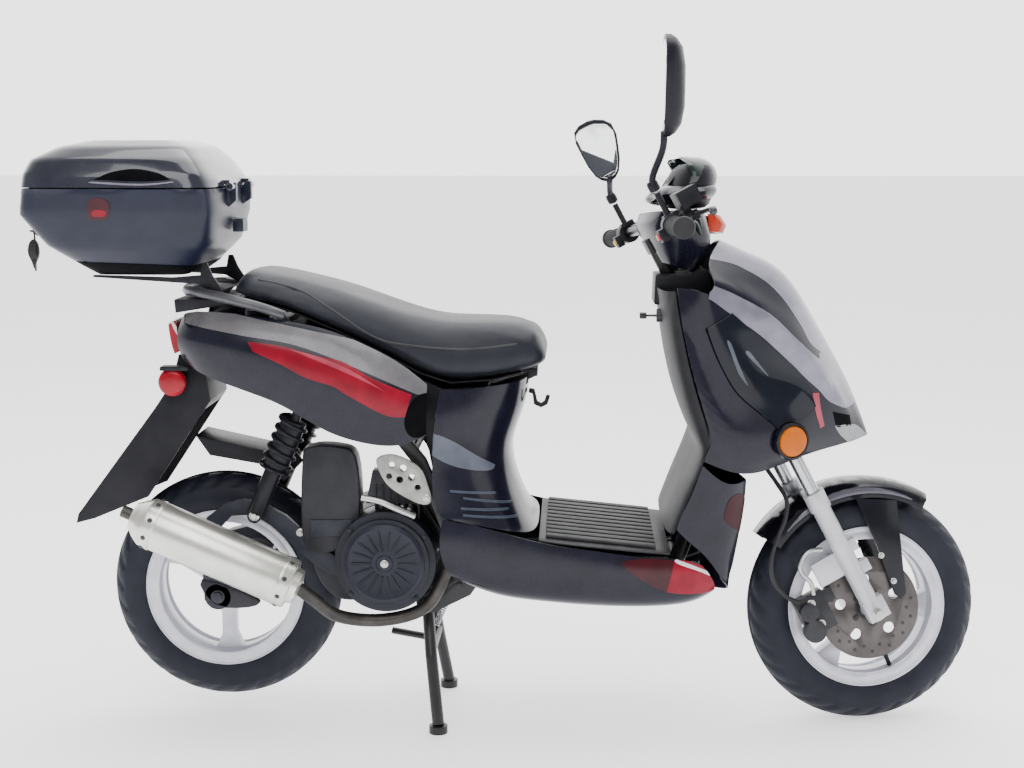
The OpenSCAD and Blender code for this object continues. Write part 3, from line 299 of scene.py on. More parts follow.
material("fob_black", (0.008, 0.008, 0.009), (0.014, 0.014, 0.015), 0.4, bump=0.2)
material("frame_steel", (0.010, 0.010, 0.011), (0.018, 0.018, 0.020), 0.38, bump=0.15)
material("spring_steel", (0.30, 0.30, 0.32), (0.40, 0.40, 0.42), 0.32, metal=1.0)
material("steering_steel", (0.40, 0.41, 0.43), (0.50, 0.51, 0.53), 0.22, metal=1.0)
material("bar_chrome", (0.05, 0.05, 0.055), (0.08, 0.08, 0.085), 0.25, metal=1.0)
material("rubber_black", (0.008, 0.008, 0.010), (0.014, 0.014, 0.016), 0.6, bump=0.35, grain=900)
material("lever_metal", (0.020, 0.020, 0.023), (0.032, 0.032, 0.036), 0.3, coat=0.3)
material("mirror_shell", (0.005, 0.005, 0.009), (0.009, 0.009, 0.014), 0.35, bump=0.2, grain=1200, shine=0.2)
material("mirror_glass", (0.86, 0.87, 0.89), (0.92, 0.93, 0.95), 0.03, metal=1.0, spread=0.01)
material("button_red", (0.42, 0.03, 0.025), (0.52, 0.05, 0.04), 0.3, coat=0.4)
material("button_yellow", (0.62, 0.42, 0.05), (0.74, 0.52, 0.08), 0.3, coat=0.4)
material("fork_silver", (0.46, 0.46, 0.50), (0.56, 0.56, 0.60), 0.38, metal=0.35, bump=0.08)
material("caliper_black", (0.012, 0.012, 0.015), (0.024, 0.024, 0.028), 0.36, bump=0.15)
material("tyre", (0.006, 0.007, 0.014), (0.011, 0.012, 0.022), 0.55, bump=0.25, grain=500, shine=0.25)
material("rim_silver", (0.50, 0.50, 0.56), (0.62, 0.62, 0.68), 0.34, metal=0.35, coat=0.2)
material("disc_steel", (0.075, 0.068, 0.066), (0.11, 0.10, 0.098), 0.36, metal=0.8, bump=0.1, grain=900)
material("engine_cast", (0.014, 0.015, 0.024), (0.026, 0.028, 0.040), 0.45, bump=0.35, grain=500, shine=0.3)
material("engine_dark", (0.008, 0.008, 0.012), (0.016, 0.016, 0.022), 0.45, bump=0.3, grain=600)
material("shroud_black", (0.009, 0.010, 0.016), (0.015, 0.016, 0.025), 0.42, bump=0.25, grain=900,
    shine=0.25)
material("fan_grey", (0.009, 0.010, 0.018), (0.015, 0.016, 0.028), 0.42, bump=0.15, grain=900, shine=0.25)
material("muffler_silver", (0.62, 0.62, 0.57), (0.76, 0.75, 0.69), 0.30, metal=0.85, bump=0.1, grain=300)
material("pipe_dark", (0.035, 0.033, 0.032), (0.07, 0.065, 0.06), 0.4, metal=0.7, bump=0.2)
material("bolt_zinc", (0.42, 0.42, 0.42), (0.54, 0.54, 0.53), 0.3, metal=1.0)
material("rivet_dark", (0.02, 0.02, 0.022), (0.04, 0.04, 0.043), 0.4)
material("kicker_chrome", (0.42, 0.42, 0.44), (0.52, 0.52, 0.54), 0.18, metal=1.0)
material("shock_black", (0.005, 0.005, 0.008), (0.010, 0.010, 0.014), 0.36, shine=0.2)
material("cable_green", (0.006, 0.014, 0.012), (0.012, 0.024, 0.020), 0.45)
material("dial_face", (0.015, 0.016, 0.02), (0.03, 0.03, 0.036), 0.3)

# Finishes that have no slot of their own, and the slot each belongs to.
SHARED_SLOT = {finish: slot for slot, finishes in {
    "body_gloss": "panel_band top_face graphic_red graphic_dark graphic_pink graphic_light blade_grey "
                  "beak_light patch_red louvre",
    "black_gloss": "fender_light dial_face", "floor_grey": "mat_rubber", "smoked_lens": "streak visor",
    "signal_lens": "marker_orange", "seat_vinyl": "thread", "mirror_shell": "mirror_glass",
    "spring_steel": "bolt_zinc", "muffler_silver": "rivet_dark pipe_dark oval_silver",
    "rubber_black": "cable_green", "engine_cast": "engine_dark", "black_plastic": "grille",
    "key_metal": "fob_black"}.items() for finish in finishes.split()}

# ---------- mesh helpers ----------


def finish(obj, mat, body, slot=None):
    """Gives a piece its finish and its body."""
    obj.data.materials.clear()
    obj.data.materials.append(MATERIALS[mat])
    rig.ride(obj, body)
    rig.slot(obj, slot or SHARED_SLOT.get(mat, mat))
    return obj


def added(name, data):
    """A new object in the scene."""
    obj = bpy.data.objects.new(name, data)
    bpy.context.scene.collection.objects.link(obj)
    return obj


def mesh_object(name, bm):
    """A new object with the mesh of bm, which is used up."""
    mesh = bpy.data.meshes.new(name)
    bm.to_mesh(mesh)
    bm.free()
    return added(name, mesh)


def shade(bm, angle):
    """Smooth faces, and sharp edges where the surface turns by angle degrees or more."""
    for e in bm.edges:
        e.smooth = len(e.link_faces) == 2 and e.calc_face_angle(0) < radians(angle)
    for f in bm.faces:
        f.smooth = True


def from_bmesh(name, bm, mat, body, slot=None, sharp=38):
    """A new piece from bm, in metres, smooth except over edges sharper than sharp degrees."""
    bmesh.ops.recalc_face_normals(bm, faces=bm.faces)
    shade(bm, sharp)
    return finish(mesh_object(name, bm), mat, body, slot)


def applied(obj):
    """Turns an object's modifiers into its mesh."""
    dg = bpy.context.evaluated_depsgraph_get()
    mesh = bpy.data.meshes.new_from_object(obj.evaluated_get(dg))
    obj.modifiers.clear()
    obj.data = mesh
    return obj


def subdivided(obj, levels):
    """Rounds a mesh by subdivision."""
    obj.modifiers.new("s", "SUBSURF").levels = levels
    return applied(obj)


def cad_bmesh(node, keep=None):
    """The CAD node's mesh, welded; keep says which points (in mm) stay."""
    bm = bmesh.new()
    bm.from_mesh(NODES[node].data)
    bmesh.ops.remove_doubles(bm, verts=bm.verts, dist=2e-5)
    if keep:
        bmesh.ops.delete(bm, geom=[v for v in bm.verts if not keep(v.co * 1000)], context="VERTS")
    return bm


def join_flats(bm):
    """Pairs of triangles joined into four-sided faces."""
    bmesh.ops.join_triangles(bm, faces=bm.faces, angle_face_threshold=radians(50),
        angle_shape_threshold=radians(60))


def moulded(node, mat, levels=2, crease=50, rim=0.9, keep=None, level_hold=0.0):
    """A CAD skin rounded by subdivision, with its rims held; level_hold also holds level ridges."""
    bm = cad_bmesh(node, keep)
    join_flats(bm)
    layer = bm.edges.layers.float.get("crease_edge") or bm.edges.layers.float.new("crease_edge")
    for e in bm.edges:
        bend = degrees(e.calc_face_angle(0)) if len(e.link_faces) == 2 else 180
        if bend > crease:
            e[layer] = rim
        elif level_hold and bend > 9 and abs(e.verts[0].co.z - e.verts[1].co.z) < 0.0005:
            e[layer] = level_hold
    obj = from_bmesh(node + "_skin", bm, mat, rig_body(node), SLOT[node], 180)
    sharpen(subdivided(obj, levels), 40)
    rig.replaces(obj, node)
    return obj


def sharpen(obj, angle):
    """Shades obj smooth except over edges sharper than angle degrees."""
    bm = bmesh.new()
    bm.from_mesh(obj.data)
    shade(bm, angle)
    bm.to_mesh(obj.data)
    bm.free()
    return obj


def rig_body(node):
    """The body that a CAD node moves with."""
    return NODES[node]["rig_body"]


def bevelled(obj, width, segments, angle):
    """Rounds the edges that turn by more than angle degrees."""
    bevel = obj.modifiers.new("b", "BEVEL")
    bevel.width = width * MM
    bevel.segments = segments
    bevel.limit_method = "ANGLE"
    bevel.angle_limit = radians(angle)
    bevel.use_clamp_overlap = True
    applied(obj)
    return sharpen(obj, 30)


def machined(node, mat, width=0.8, angle=32, segments=2, keep=None):
    """A CAD piece with its edges broken, as a casting or a turned part has them."""
    bm = cad_bmesh(node, keep)
    bmesh.ops.dissolve_limit(bm, angle_limit=radians(1), verts=bm.verts, edges=bm.edges)
    obj = from_bmesh(node + "_edged", bm, mat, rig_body(node), SLOT[node], 30)
    bevelled(obj, width, segments, angle)
    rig.replaces(obj, node)
    return obj


def round_angles(n):
    """n angles evenly round a circle."""
    return [2 * pi * i / n for i in range(n)]


def between_points(a, b, c, d, t):
    """The point at the share t of the way from b to c on a smooth curve through a, b, c and d."""
    return 0.5 * (2 * b + (c - a) * t + (2 * a - 5 * b + 4 * c - d) * t * t
        + (3 * b - a - 3 * c + d) * t ** 3)


def spline(pts, n):
    """Smooth curve through pts (in mm), n steps between neighbours."""
    out = []
    for i in range(len(pts) - 1):
        a, b, c, d = (Vector(pts[min(max(i + k, 0), len(pts) - 1)]) for k in (-1, 0, 1, 2))
        out += [between_points(a, b, c, d, k / n) for k in range(n)]
    return out + [Vector(pts[-1])]


def bridge(bm, a, b):
    """Faces between two closed rings of vertices."""
    for k in range(len(a)):
        after = (k + 1) % len(a)
        bm.faces.new((a[k], a[after], b[after], b[k]))


def ring_loft(bm, rings, cap=True):
    """A skin through closed rings of points (in mm), with both ends filled if cap is set."""
    rows = [[bm.verts.new(p * MM) for p in ring] for ring in rings]
    for a, b in zip(rows, rows[1:]):
        bridge(bm, a, b)
    if cap:
        bm.faces.new(list(reversed(rows[0])))
        bm.faces.new(rows[-1])
    return rows


def add_tube(bm, pts, r, sides=12, steps=6, cap=True):
    """A round tube along a smooth route; r is one radius or a function of the share of the way."""
    path = spline(pts, steps) if steps > 1 else [Vector(p) for p in pts]
    radius = r if callable(r) else lambda t: r
    up = Vector((0.13, 0.21, 1)).normalized()
    rings = []
    side = None
    for i, p in enumerate(path):
        d = (path[min(i + 1, len(path) - 1)] - path[max(i - 1, 0)]).normalized()
        side = d.cross(up).normalized() if side is None else (side - d * side.dot(d)).normalized()
        w = d.cross(side)
        rr = radius(i / (len(path) - 1))
        rings.append([p + polar(side, w, a, rr) for a in round_angles(sides)])
    ring_loft(bm, rings, cap)


def axes_for(axis):
    """Two directions across an axis, and the axis itself."""
    z = Vector(axis).normalized()
    x = z.orthogonal().normalized()
    if abs(z.y) > 0.9:
        x = Vector((1, 0, 0))
        x = (x - z * x.dot(z)).normalized()
    return x, z.cross(x), z


def polar(x, y, a, r=1.0):
    """The vector of length r at angle a from x towards y."""
    return r * (cos(a) * x + sin(a) * y)


def add_lathe(bm, profile, at, axis, sides=32, closed=False):
    """Turns a profile of (radius, height) about an axis through at."""
    x, y, z = axes_for(axis)
    rings = []
    for r, h in profile:
        rings.append([Vector(at) + z * h + polar(x, y, a, max(r, 0.01)) for a in round_angles(sides)])
    rows = ring_loft(bm, rings, cap=not closed)
    if closed:
        bridge(bm, rows[-1], rows[0])


def lathe(name, profile, at, axis, mat, body, sides=48, closed=False, slot=None, sharp=35):
    """A piece turned from a profile of (radius, height)."""
    bm = bmesh.new()
    add_lathe(bm, profile, at, axis, sides, closed)
    return from_bmesh(name, bm, mat, body, slot, sharp)


def tube(name, pts, r, mat, body, sides=12, steps=6, slot=None):
    """A piece bent from a round tube."""
    bm = bmesh.new()
    add_tube(bm, pts, r, sides, steps)
    return from_bmesh(name, bm, mat, body, slot)


def add_bolt(bm, at, axis, r, h):
    """A flanged hexagon bolt head."""
    at = Vector(at)
    z = Vector(axis).normalized()
    add_lathe(bm, [(0, 0), (r * 1.55, 0), (r * 1.6, 0.6), (r * 1.35, 1.2), (0, 1.2)], at, axis, 24)
    add_lathe(bm, [(0, 1), (r, 1), (r, h - 0.8), (r * 0.86, h), (0, h)], at + z * 0.01, axis, 6)


def bolts(name, places, mat, body, slot=None, r=5.0, h=5.0):
    """Bolt heads at places of (point, outward direction), as one piece."""
    bm = bmesh.new()
    for at, axis in places:
        add_bolt(bm, at, axis, r, h)
    return from_bmesh(name, bm, mat, body, slot, 25)


def add_block(bm, corner, size, turn=None, at=None, bevel=1.5):
    """A box with rounded edges; turn is a 3x3 matrix applied about at."""
    made = bmesh.ops.create_cube(bm, size=1.0)["verts"]
    centre = Vector(corner) + Vector(size) / 2
    for v in made:
        p = Vector((v.co.x * size[0], v.co.y * size[1], v.co.z * size[2]))
        v.co = (centre + p) * MM if turn is None else (Vector(at) + turn @ (centre + p)) * MM
    if bevel:
        edges = list({e for v in made for e in v.link_edges})
        bmesh.ops.bevel(bm, geom=edges, offset=bevel * MM, segments=3, profile=0.5, affect="EDGES",
            clamp_overlap=True)


def smooth_outline(outline, n):
    """Closed smooth outline through 2-D points; a point given with a third value stays a corner."""
    if n <= 1:
        return [Vector(p[:2]) for p in outline]
    m = len(outline)
    out = []
    for i in range(m):
        a, b, c, d = (Vector(outline[(i + k) % m][:2]) for k in (-1, 0, 1, 2))
        if len(outline[i]) > 2:
            a = b
        if len(outline[(i + 1) % m]) > 2:
            d = c
        out += [between_points(a, b, c, d, k / n) for k in range(n)]
    return out


def inside(p, poly):
    """Whether a 2-D point lies within an outline."""
    hit = False
    j = len(poly) - 1
    for i in range(len(poly)):
        if (poly[i].y > p.y) != (poly[j].y > p.y):
            x = (poly[j].x - poly[i].x) * (p.y - poly[i].y) / (poly[j].y - poly[i].y) + poly[i].x
            if p.x < x:
                hit = not hit
        j = i
    return hit


def inlay(name, outline, on, mat, side=0, lift=0.5, thick=1.5, n=5, slot=None, facing=(0, 0)):
    """A thin piece cut out of another's own surface by a side-view outline (x, z), a little proud of it.

    side is -1 for the right, 1 for the left and 0 for both; facing lets in faces that look to x or z.
    """
    edge = smooth_outline(outline, n)
    m = len(edge)
    low = Vector((min(p.x for p in edge), min(p.y for p in edge)))
    high = Vector((max(p.x for p in edge), max(p.y for p in edge)))
    bm = bmesh.new()
    bm.from_mesh(on.data)
    drop = []
    for f in bm.faces:
        c = f.calc_center_median() * 1000
        s = side or (1 if c.y > 0 else -1)
        r = max((v.co * 1000 - c).length for v in f.verts)
        away = f.normal.dot(Vector((facing[0], s, facing[1]))) < 0.12 or c.y * s < -1
        if away or c.x < low.x - r or c.x > high.x + r or c.z < low.y - r or c.z > high.y + r:
            drop.append(f)
    bmesh.ops.delete(bm, geom=drop, context="FACES")
    for i in range(m):
        a, b = edge[i], edge[(i + 1) % m]
        if (b - a).length < 1e-4:
            continue
        x0, x1, z0, z1 = min(a.x, b.x), max(a.x, b.x), min(a.y, b.y), max(a.y, b.y)
        near = []
        for f in bm.faces:
            fx = [v.co.x * 1000 for v in f.verts]
            fz = [v.co.z * 1000 for v in f.verts]
            if max(fx) >= x0 - 1 and min(fx) <= x1 + 1 and max(fz) >= z0 - 1 and min(fz) <= z1 + 1:
                near.append(f)
        geom = near + list({v for f in near for v in f.verts}) + list({e for f in near for e in f.edges})
        across = Vector((b.y - a.y, 0, a.x - b.x)).normalized()
        bmesh.ops.bisect_plane(bm, geom=geom, dist=1e-7, plane_co=Vector((a.x, 0, a.y)) * MM,
            plane_no=across)
    out = []
    for f in bm.faces:
        c = f.calc_center_median() * 1000
        if not inside(Vector((c.x, c.z)), edge):
            out.append(f)
    bmesh.ops.delete(bm, geom=out, context="FACES")
    bmesh.ops.remove_doubles(bm, verts=bm.verts, dist=2e-6)
    if not bm.faces:
        raise RuntimeError("inlay misses its surface: " + name)
    bm.normal_update()
    for v, rise in [(v, v.normal * lift * MM) for v in bm.verts]:
        v.co += rise
    for f in bm.faces:
        f.smooth = True
    obj = mesh_object(name, bm)
    wall = obj.modifiers.new("w", "SOLIDIFY")
    wall.thickness = thick * MM
    wall.offset = -1
    applied(obj)
    sharpen(obj, 40)
    return finish(obj, mat, on["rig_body"], slot)


def surface_y(obj, x, z, side):
    """How far out obj's outer surface lies at (x, z) on that side, in mm, or None past its edge."""
    tree = BVHTree.FromPolygons([v.co for v in obj.data.vertices], [list(p.vertices)
        for p in obj.data.polygons])
    hit = tree.ray_cast(Vector((x, side * 420, z)) * MM, Vector((0, -side, 0)))[0]
    return hit.y * 1000 if hit else None


HOLE_SIDES = 16


def extrude(name, outline, y0, y1, mat, body, n=1, slot=None, bevel=1.0, holes=()):
    """A plate with a side-view outline (x, z), from y0 to y1; holes are (x, z, radius)."""
    edge = smooth_outline(outline, n)
    points = list(edge)
    rings = [list(range(len(edge)))]
    for x, z, r in holes:
        k = len(points)
        points += [Vector((x + r * cos(a), z - r * sin(a))) for a in round_angles(HOLE_SIDES)]
        rings.append(list(range(k, k + HOLE_SIDES)))
    verts, _, faces, _, _, _ = delaunay_2d_cdt(points, [], rings, 1, 1e-6)
    if holes:
        middles = [(f, sum((verts[i] for i in f), Vector((0, 0))) / len(f)) for f in faces]
        faces = [f for f, mid in middles if inside(mid, edge)
            and all((mid - Vector((x, z))).length >= r * 0.98 for x, z, r in holes)]
    bm = bmesh.new()
    near = [bm.verts.new((v.x * MM, y0 * MM, v.y * MM)) for v in verts]
    far = [bm.verts.new((v.x * MM, y1 * MM, v.y * MM)) for v in verts]
    rim = set()
    for f in faces:
        bm.faces.new([near[i] for i in f])
        bm.faces.new([far[i] for i in reversed(f)])
        rim |= set(zip(f, list(f[1:]) + [f[0]]))
    for i, j in rim:
        if (j, i) not in rim:
            bm.faces.new((near[j], near[i], far[i], far[j]))
    bmesh.ops.delete(bm, geom=[v for v in bm.verts if not v.link_faces], context="VERTS")
    bmesh.ops.dissolve_limit(bm, angle_limit=radians(1), verts=bm.verts, edges=bm.edges)
    obj = from_bmesh(name, bm, mat, body, slot, 30)
    return bevelled(obj, bevel, 3, 50)


# ---------- body panels ----------

POD_TOP = 1001.5
STEM_LOW = -396
HEAD_FACE_Y = -127
HEAD_BOSS_X = -180
HEAD_BOSS_Z = 478
HEAD_BOSS_R = 30
SIDES = ((-1, "right"), (1, "left"))

apron = moulded("front_apron", "body_gloss")
moulded("leg_shield", "grey_trim")
cowl = moulded("lower_cowl", "body_gloss")
belly = moulded("belly_pan", "body_gloss")
under_seat = moulded("under_seat_panel", "body_gloss")
side_right = moulded("side_panel_right", "body_gloss")
side_left = moulded("side_panel_left", "body_gloss")
moulded("floorboard", "floor_grey")
lens = moulded("headlight", "smoked_lens")
tail = moulded("tail_light", "red_lens")
base = moulded("case_base", "case_plastic", crease=60, level_hold=0.8)
lid = moulded("case_lid", "case_gloss", crease=60, level_hold=0.7)
moulded("handlebar_cover", "body_gloss")
moulded("instrument_pod", "black_gloss", keep=lambda p: straight(p).z < POD_TOP)

# The nodes that are machined, cast or pressed, by finish.
EDGED = {
    "frame_steel": "frame fuel_tank centre_stand",
    "black_plastic": "helmet_bucket bag_hook case_rack rear_mudguard seat_base fuel_cap brake_perches "
                     "rear_hugger",
    "fob_black": "case_keys ignition_key", "button_red": "starter_button", "button_yellow": "horn_button",
    "fork_silver": "fork_lowers", "black_gloss": "front_fender", "caliper_black": "brake_caliper",
    "rim_silver": "front_rim rear_rim", "disc_steel": "brake_disc",
    "engine_cast": "crankcase belt_cover swing_arm", "shroud_black": "fan_shroud", "fan_grey": "cooling_fan",
    "kicker_chrome": "kick_starter", "shock_black": "shock_upper shock_lower", "rail_grey": "grab_rail",
    "bar_chrome": "handlebar", "lever_metal": "right_brake_lever left_brake_lever"}
for mat, nodes in EDGED.items():
    for node in nodes.split():
        machined(node, mat)
machined("steering_stem", "frame_steel",
    keep=lambda p: (LOCAL.transposed() @ (p - STEER_POINT)).z > STEM_LOW)
machined("cylinder_head", "engine_dark", keep=lambda p: p.y > HEAD_FACE_Y or (p.x - HEAD_BOSS_X) ** 2
    + (p.z - HEAD_BOSS_Z) ** 2 < HEAD_BOSS_R ** 2)

# ---------- bodies ----------

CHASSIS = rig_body("frame")
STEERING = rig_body("handlebar")
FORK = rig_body("fork_lowers")
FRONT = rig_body("front_rim")
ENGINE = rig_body("crankcase")
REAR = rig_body("rear_rim")
ACROSS = Vector((0, 1, 0))
SIGNAL_R = 27
STANCHION_R = 13
STANCHION_Y = 80
FORK_OFFSET = 35
AXLE_DROP = 793.65
AXLE_NUT_Y = 104
FRONT_SIGNAL = (507, 141, 549)
REAR_SIGNAL = (-602, 88, 640)
# Bolts round the belt cover's front and rear ends.
LEFT_BOLTS = [(-214 + 78 * cos(a), 140, 320 + 78 * sin(a)) for a in (0.7, 1.9, 3.6, 5.2)]
LEFT_BOLTS += [(-527 + 54 * cos(a), 134, 256 + 54 * sin(a)) for a in (1.9, 3.3, 4.6)]

# ---------- painted reflections and highlights, and graphics of the body ---

# The light lilac bands on the apron are painted reflections of the sky on its gloss black.
REFLECTION_HIGH = [(348, 868, 1), (400, 858), (436, 842), (468, 822), (493, 797), (513, 769), (530, 742),
    (544, 716), (572, 694, 1), (640, 720, 1), (560, 840, 1), (470, 930, 1), (340, 930, 1)]
REFLECTION_LOW = [(363, 824, 1), (406, 806), (467, 772), (512, 731), (540, 705), (560, 690), (566, 700),
    (650, 700, 1), (660, 612, 1), (622, 596), (596, 604), (576, 616), (560, 634), (540, 652), (523, 668),
    (490, 700), (451, 735), (410, 764), (371, 792), (358, 800, 1)]
inlay("sky_reflection_high", REFLECTION_HIGH, apron, "panel_band", facing=(0.6, 0.3))
inlay("sky_reflection_low", REFLECTION_LOW, apron, "panel_band", facing=(0.6, 0.3), lift=0.6)
inlay("nose_stripe", [(547, 630, 1), (559, 630, 1), (563, 603), (572, 569, 1), (564, 565, 1), (554, 595)],
    apron, "graphic_pink", lift=0.9)
inlay("nose_grille", [(588, 593, 1), (623, 582, 1), (627, 562, 1), (597, 562, 1)], apron, "grille",
    facing=(0.6, 0), lift=0.7)
inlay("nose_tip", [(593, 566, 1), (634, 563), (662, 540, 1), (670, 520, 1), (640, 520), (608, 545)], apron,
    "beak_light", facing=(0.6, 0), lift=0.7)
# Light streaks on the headlight lens are painted reflections.
STREAK_A = [(391, 726), (403, 692), (414, 666), (429, 648), (422, 664), (410, 692), (398, 722)]
STREAK_B = [(425, 704), (443, 685), (466, 663), (447, 688), (430, 708)]
inlay("lens_streak_a", STREAK_A, lens, "streak")
inlay("lens_streak_b", STREAK_B, lens, "streak")

SPEAR = [(-446, 724, 1), (-400, 720), (-359, 711), (-318, 700), (-277, 691), (-227, 663), (-158, 634, 1),
    (-170, 595, 1), (-205, 599), (-269, 633), (-296, 649), (-342, 663), (-387, 686), (-437, 708, 1)]
# A painted highlight: the pink streak along the top of the red spear.
SPEAR_HIGHLIGHT = [(-372, 713, 1), (-318, 699), (-262, 676), (-204, 640, 1), (-262, 668), (-320, 692)]
# The side panels' upper face is lighter: a painted sheen from the sky above.
UPPER_SHEEN = [(-567, 752, 1), (-461, 735), (-373, 722), (-303, 700), (-233, 671), (-150, 634, 1),
    (-101, 627, 1), (-128, 649), (-180, 688), (-232, 719), (-355, 747), (-460, 767), (-575, 790, 1)]
# A painted highlight in the shape of a blade on the panel under the seat.
SHEEN_PATCH = [(-146, 551, 1), (-127, 563), (-89, 548), (-50, 521), (-16, 498, 1), (-24, 490), (-62, 496),
    (-100, 509), (-135, 532)]
SCOOP = (-143, 596)
SCOOP_HALF = (26, 41)
SCOOP_TILT = radians(-20)
scoop = [(SCOOP[0] + SCOOP_HALF[0] * cos(a) * cos(SCOOP_TILT) - SCOOP_HALF[1] * sin(a) * sin(SCOOP_TILT),
    SCOOP[1] + SCOOP_HALF[0] * cos(a) * sin(SCOOP_TILT) + SCOOP_HALF[1] * sin(a) * cos(SCOOP_TILT))
    for a in round_angles(20)]
for panel, side, tag in ((side_right, -1, "right"), (side_left, 1, "left")):
    inlay("top_face_" + tag, UPPER_SHEEN, panel, "top_face", side=side, facing=(0, 0.6), lift=0.4)
    inlay("spear_" + tag, SPEAR, panel, "graphic_red", side=side, lift=0.7)
    inlay("spear_highlight_" + tag, SPEAR_HIGHLIGHT, panel, "graphic_pink", side=side, lift=1.0)
    inlay("scoop_" + tag, scoop, panel, "grille", side=side, lift=0.6, n=2, facing=(0.4, 0))

LOUVRES = [((-93, 460), (-16, 451)), ((-70, 447), (11, 432)),
           ((-74, 429), (7, 422)), ((-70, 417), (22, 408))]
LOUVRE_HALF = 2.2
for k, ((x0, z0), (x1, z1)) in enumerate(LOUVRES):
    line = [(x0, z0 + LOUVRE_HALF), (x1, z1 + LOUVRE_HALF), (x1 + 3, z1), (x1, z1 - LOUVRE_HALF),
        (x0, z0 - LOUVRE_HALF)]
    for side, tag in SIDES:
        inlay("louvre_%d_%s" % (k, tag), line, under_seat, "louvre", side=side, lift=1.4, n=1)
inlay("blade", SHEEN_PATCH, under_seat, "blade_grey", lift=1.0)

inlay("belly_red", [(303, 340, 1), (328, 338), (367, 319), (390, 295), (390, 280), (367, 275), (314, 279),
    (290, 284, 1)], belly, "graphic_red", facing=(0.8, 0), lift=0.7)
inlay("belly_dark", [(210, 337), (252, 345), (304, 340, 1), (291, 284, 1), (276, 290), (241, 310)], belly,
    "graphic_dark", facing=(0.8, 0), lift=0.7)
# A painted highlight along the top edge of the red belly graphic.
inlay("belly_highlight", [(309, 341), (351, 323), (382, 304), (390, 285), (383, 298), (351, 317), (309, 335)],
    belly, "graphic_light", facing=(0.8, 0), lift=1.0)
inlay("cowl_patch", [(405, 451), (428, 448), (434, 381), (395, 404), (393, 428)], cowl, "patch_red",
    facing=(0.6, 0), lift=0.7)

# ---------- top case ----------

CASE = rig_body("case_base")
inlay("lid_scallop", [(-701, 1006, 1), (-669, 1019), (-629, 1024), (-589, 1017), (-568, 1006, 1),
    (-621, 1003)], lid, "grille", lift=0.7)
inlay("lid_line", [(-704, 1003, 1), (-621, 999), (-566, 1003, 1), (-566, 1001), (-621, 996), (-704, 1000)],
    lid, "panel_band", lift=0.8)
inlay("case_reflector", [(-709, 972), (-678, 970), (-680, 940), (-713, 940)], base, "graphic_dark", lift=1.2)
inlay("case_reflector_low", [(-703, 954), (-684, 953), (-685, 944), (-705, 944)], base, "graphic_red",
    lift=1.6)
inlay("case_foot", [(-760, 862, 1), (-742, 861), (-640, 858), (-528, 853, 1), (-532, 815, 1),
    (-760, 815, 1)], base, "grille", lift=0.8, facing=(0.5, 0), slot="case_plastic")
lathe("case_lock", [(0, 0), (13, 0), (13, 3), (11.5, 5), (8, 5), (8, 3.5), (0, 3.5)], (-838, 0, 908),
    (-1, 0, 0), "bolt_zinc", CASE, slot="key_metal")
extrude("key_fob", [(-869, 886), (-866, 868), (-872, 850), (-876, 838), (-880, 850), (-887, 868),
    (-884, 886), (-876, 893)], -4, 4, "fob_black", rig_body("case_keys"), n=3, bevel=1.5)

# ---------- cockpit ----------

# Each ring of the visor has a height, how far ahead it reaches and half its width.
rows = []
for z, x, half in ((964, 363, 56), (985, 381, 74), (1010, 388, 80), (1032, 379, 72), (1046, 356, 46)):
    rows.append([turned(x - 62 * abs(t) ** 2.2, half * t, z) for t in [i / 8 for i in range(-8, 9)]])
    rows[-1] += [turned(x - 6 - 62 * abs(t) ** 2.2, (half - 3) * t, z - 1)
        for t in [i / 8 for i in range(8, -9, -1)]]
bm = bmesh.new()
ring_loft(bm, rows)
visor = from_bmesh("wind_visor", bm, "visor", STEERING, sharp=60)
sharpen(subdivided(visor, 1), 60)
marker = [[turned(x - 22 * abs(t) ** 2, 45 * t, z + 2 * abs(t)) for t in [i / 6 for i in range(-6, 7)]]
    for z, x in ((905, 397), (920, 403), (937, 392), (938, 380), (905, 384))]
bm = bmesh.new()
ring_loft(bm, list(zip(*marker)))
from_bmesh("marker_lens", bm, "marker_orange", STEERING, sharp=50)
extrude("neck_filler", [(268, 780), (270, 834), (332, 834), (346, 848), (372, 836), (376, 780)], -52, 52,
    "black_plastic", CHASSIS, bevel=4)
for s in (-1, 1):
    lathe("stanchion_%d" % s, [(0, -684), (STANCHION_R, -684), (STANCHION_R, -380), (0, -380)],
        steer(FORK_OFFSET, s * STANCHION_Y, 0), STEER_AXIS, "steering_steel", STEERING, sides=40)
# Each ring of the hood has a height, its back and front and half its width.
hood = []
for z, x0, x1, half in ((948, 292, 366, 62), (968, 288, 374, 70), (996, 290, 380, 72), (1020, 300, 378, 64),
        (1034, 318, 370, 46)):
    hood.append([turned((x0 + x1) / 2 + (x1 - x0) / 2 * cos(a), half * sin(a), z) for a in round_angles(24)])
bm = bmesh.new()
ring_loft(bm, hood)
subdivided(from_bmesh("dash_hood", bm, "black_plastic", STEERING, sharp=60), 1)
lathe("dial", [(0, 0), (30, 0), (31, 2), (29, 3), (27, 1.5), (0, 1.5)], turned(300, 0, 1004),
    turned(300, 0, 1010) - turned(310, 0, 1003), "dial_face", STEERING)


def turn_matrix(a, b, c):
    """A turn by a degrees about X, then b about Y, then c about Z."""
    return (Matrix.Rotation(radians(c), 3, "Z") @ Matrix.Rotation(radians(b), 3, "Y")
        @ Matrix.Rotation(radians(a), 3, "X"))


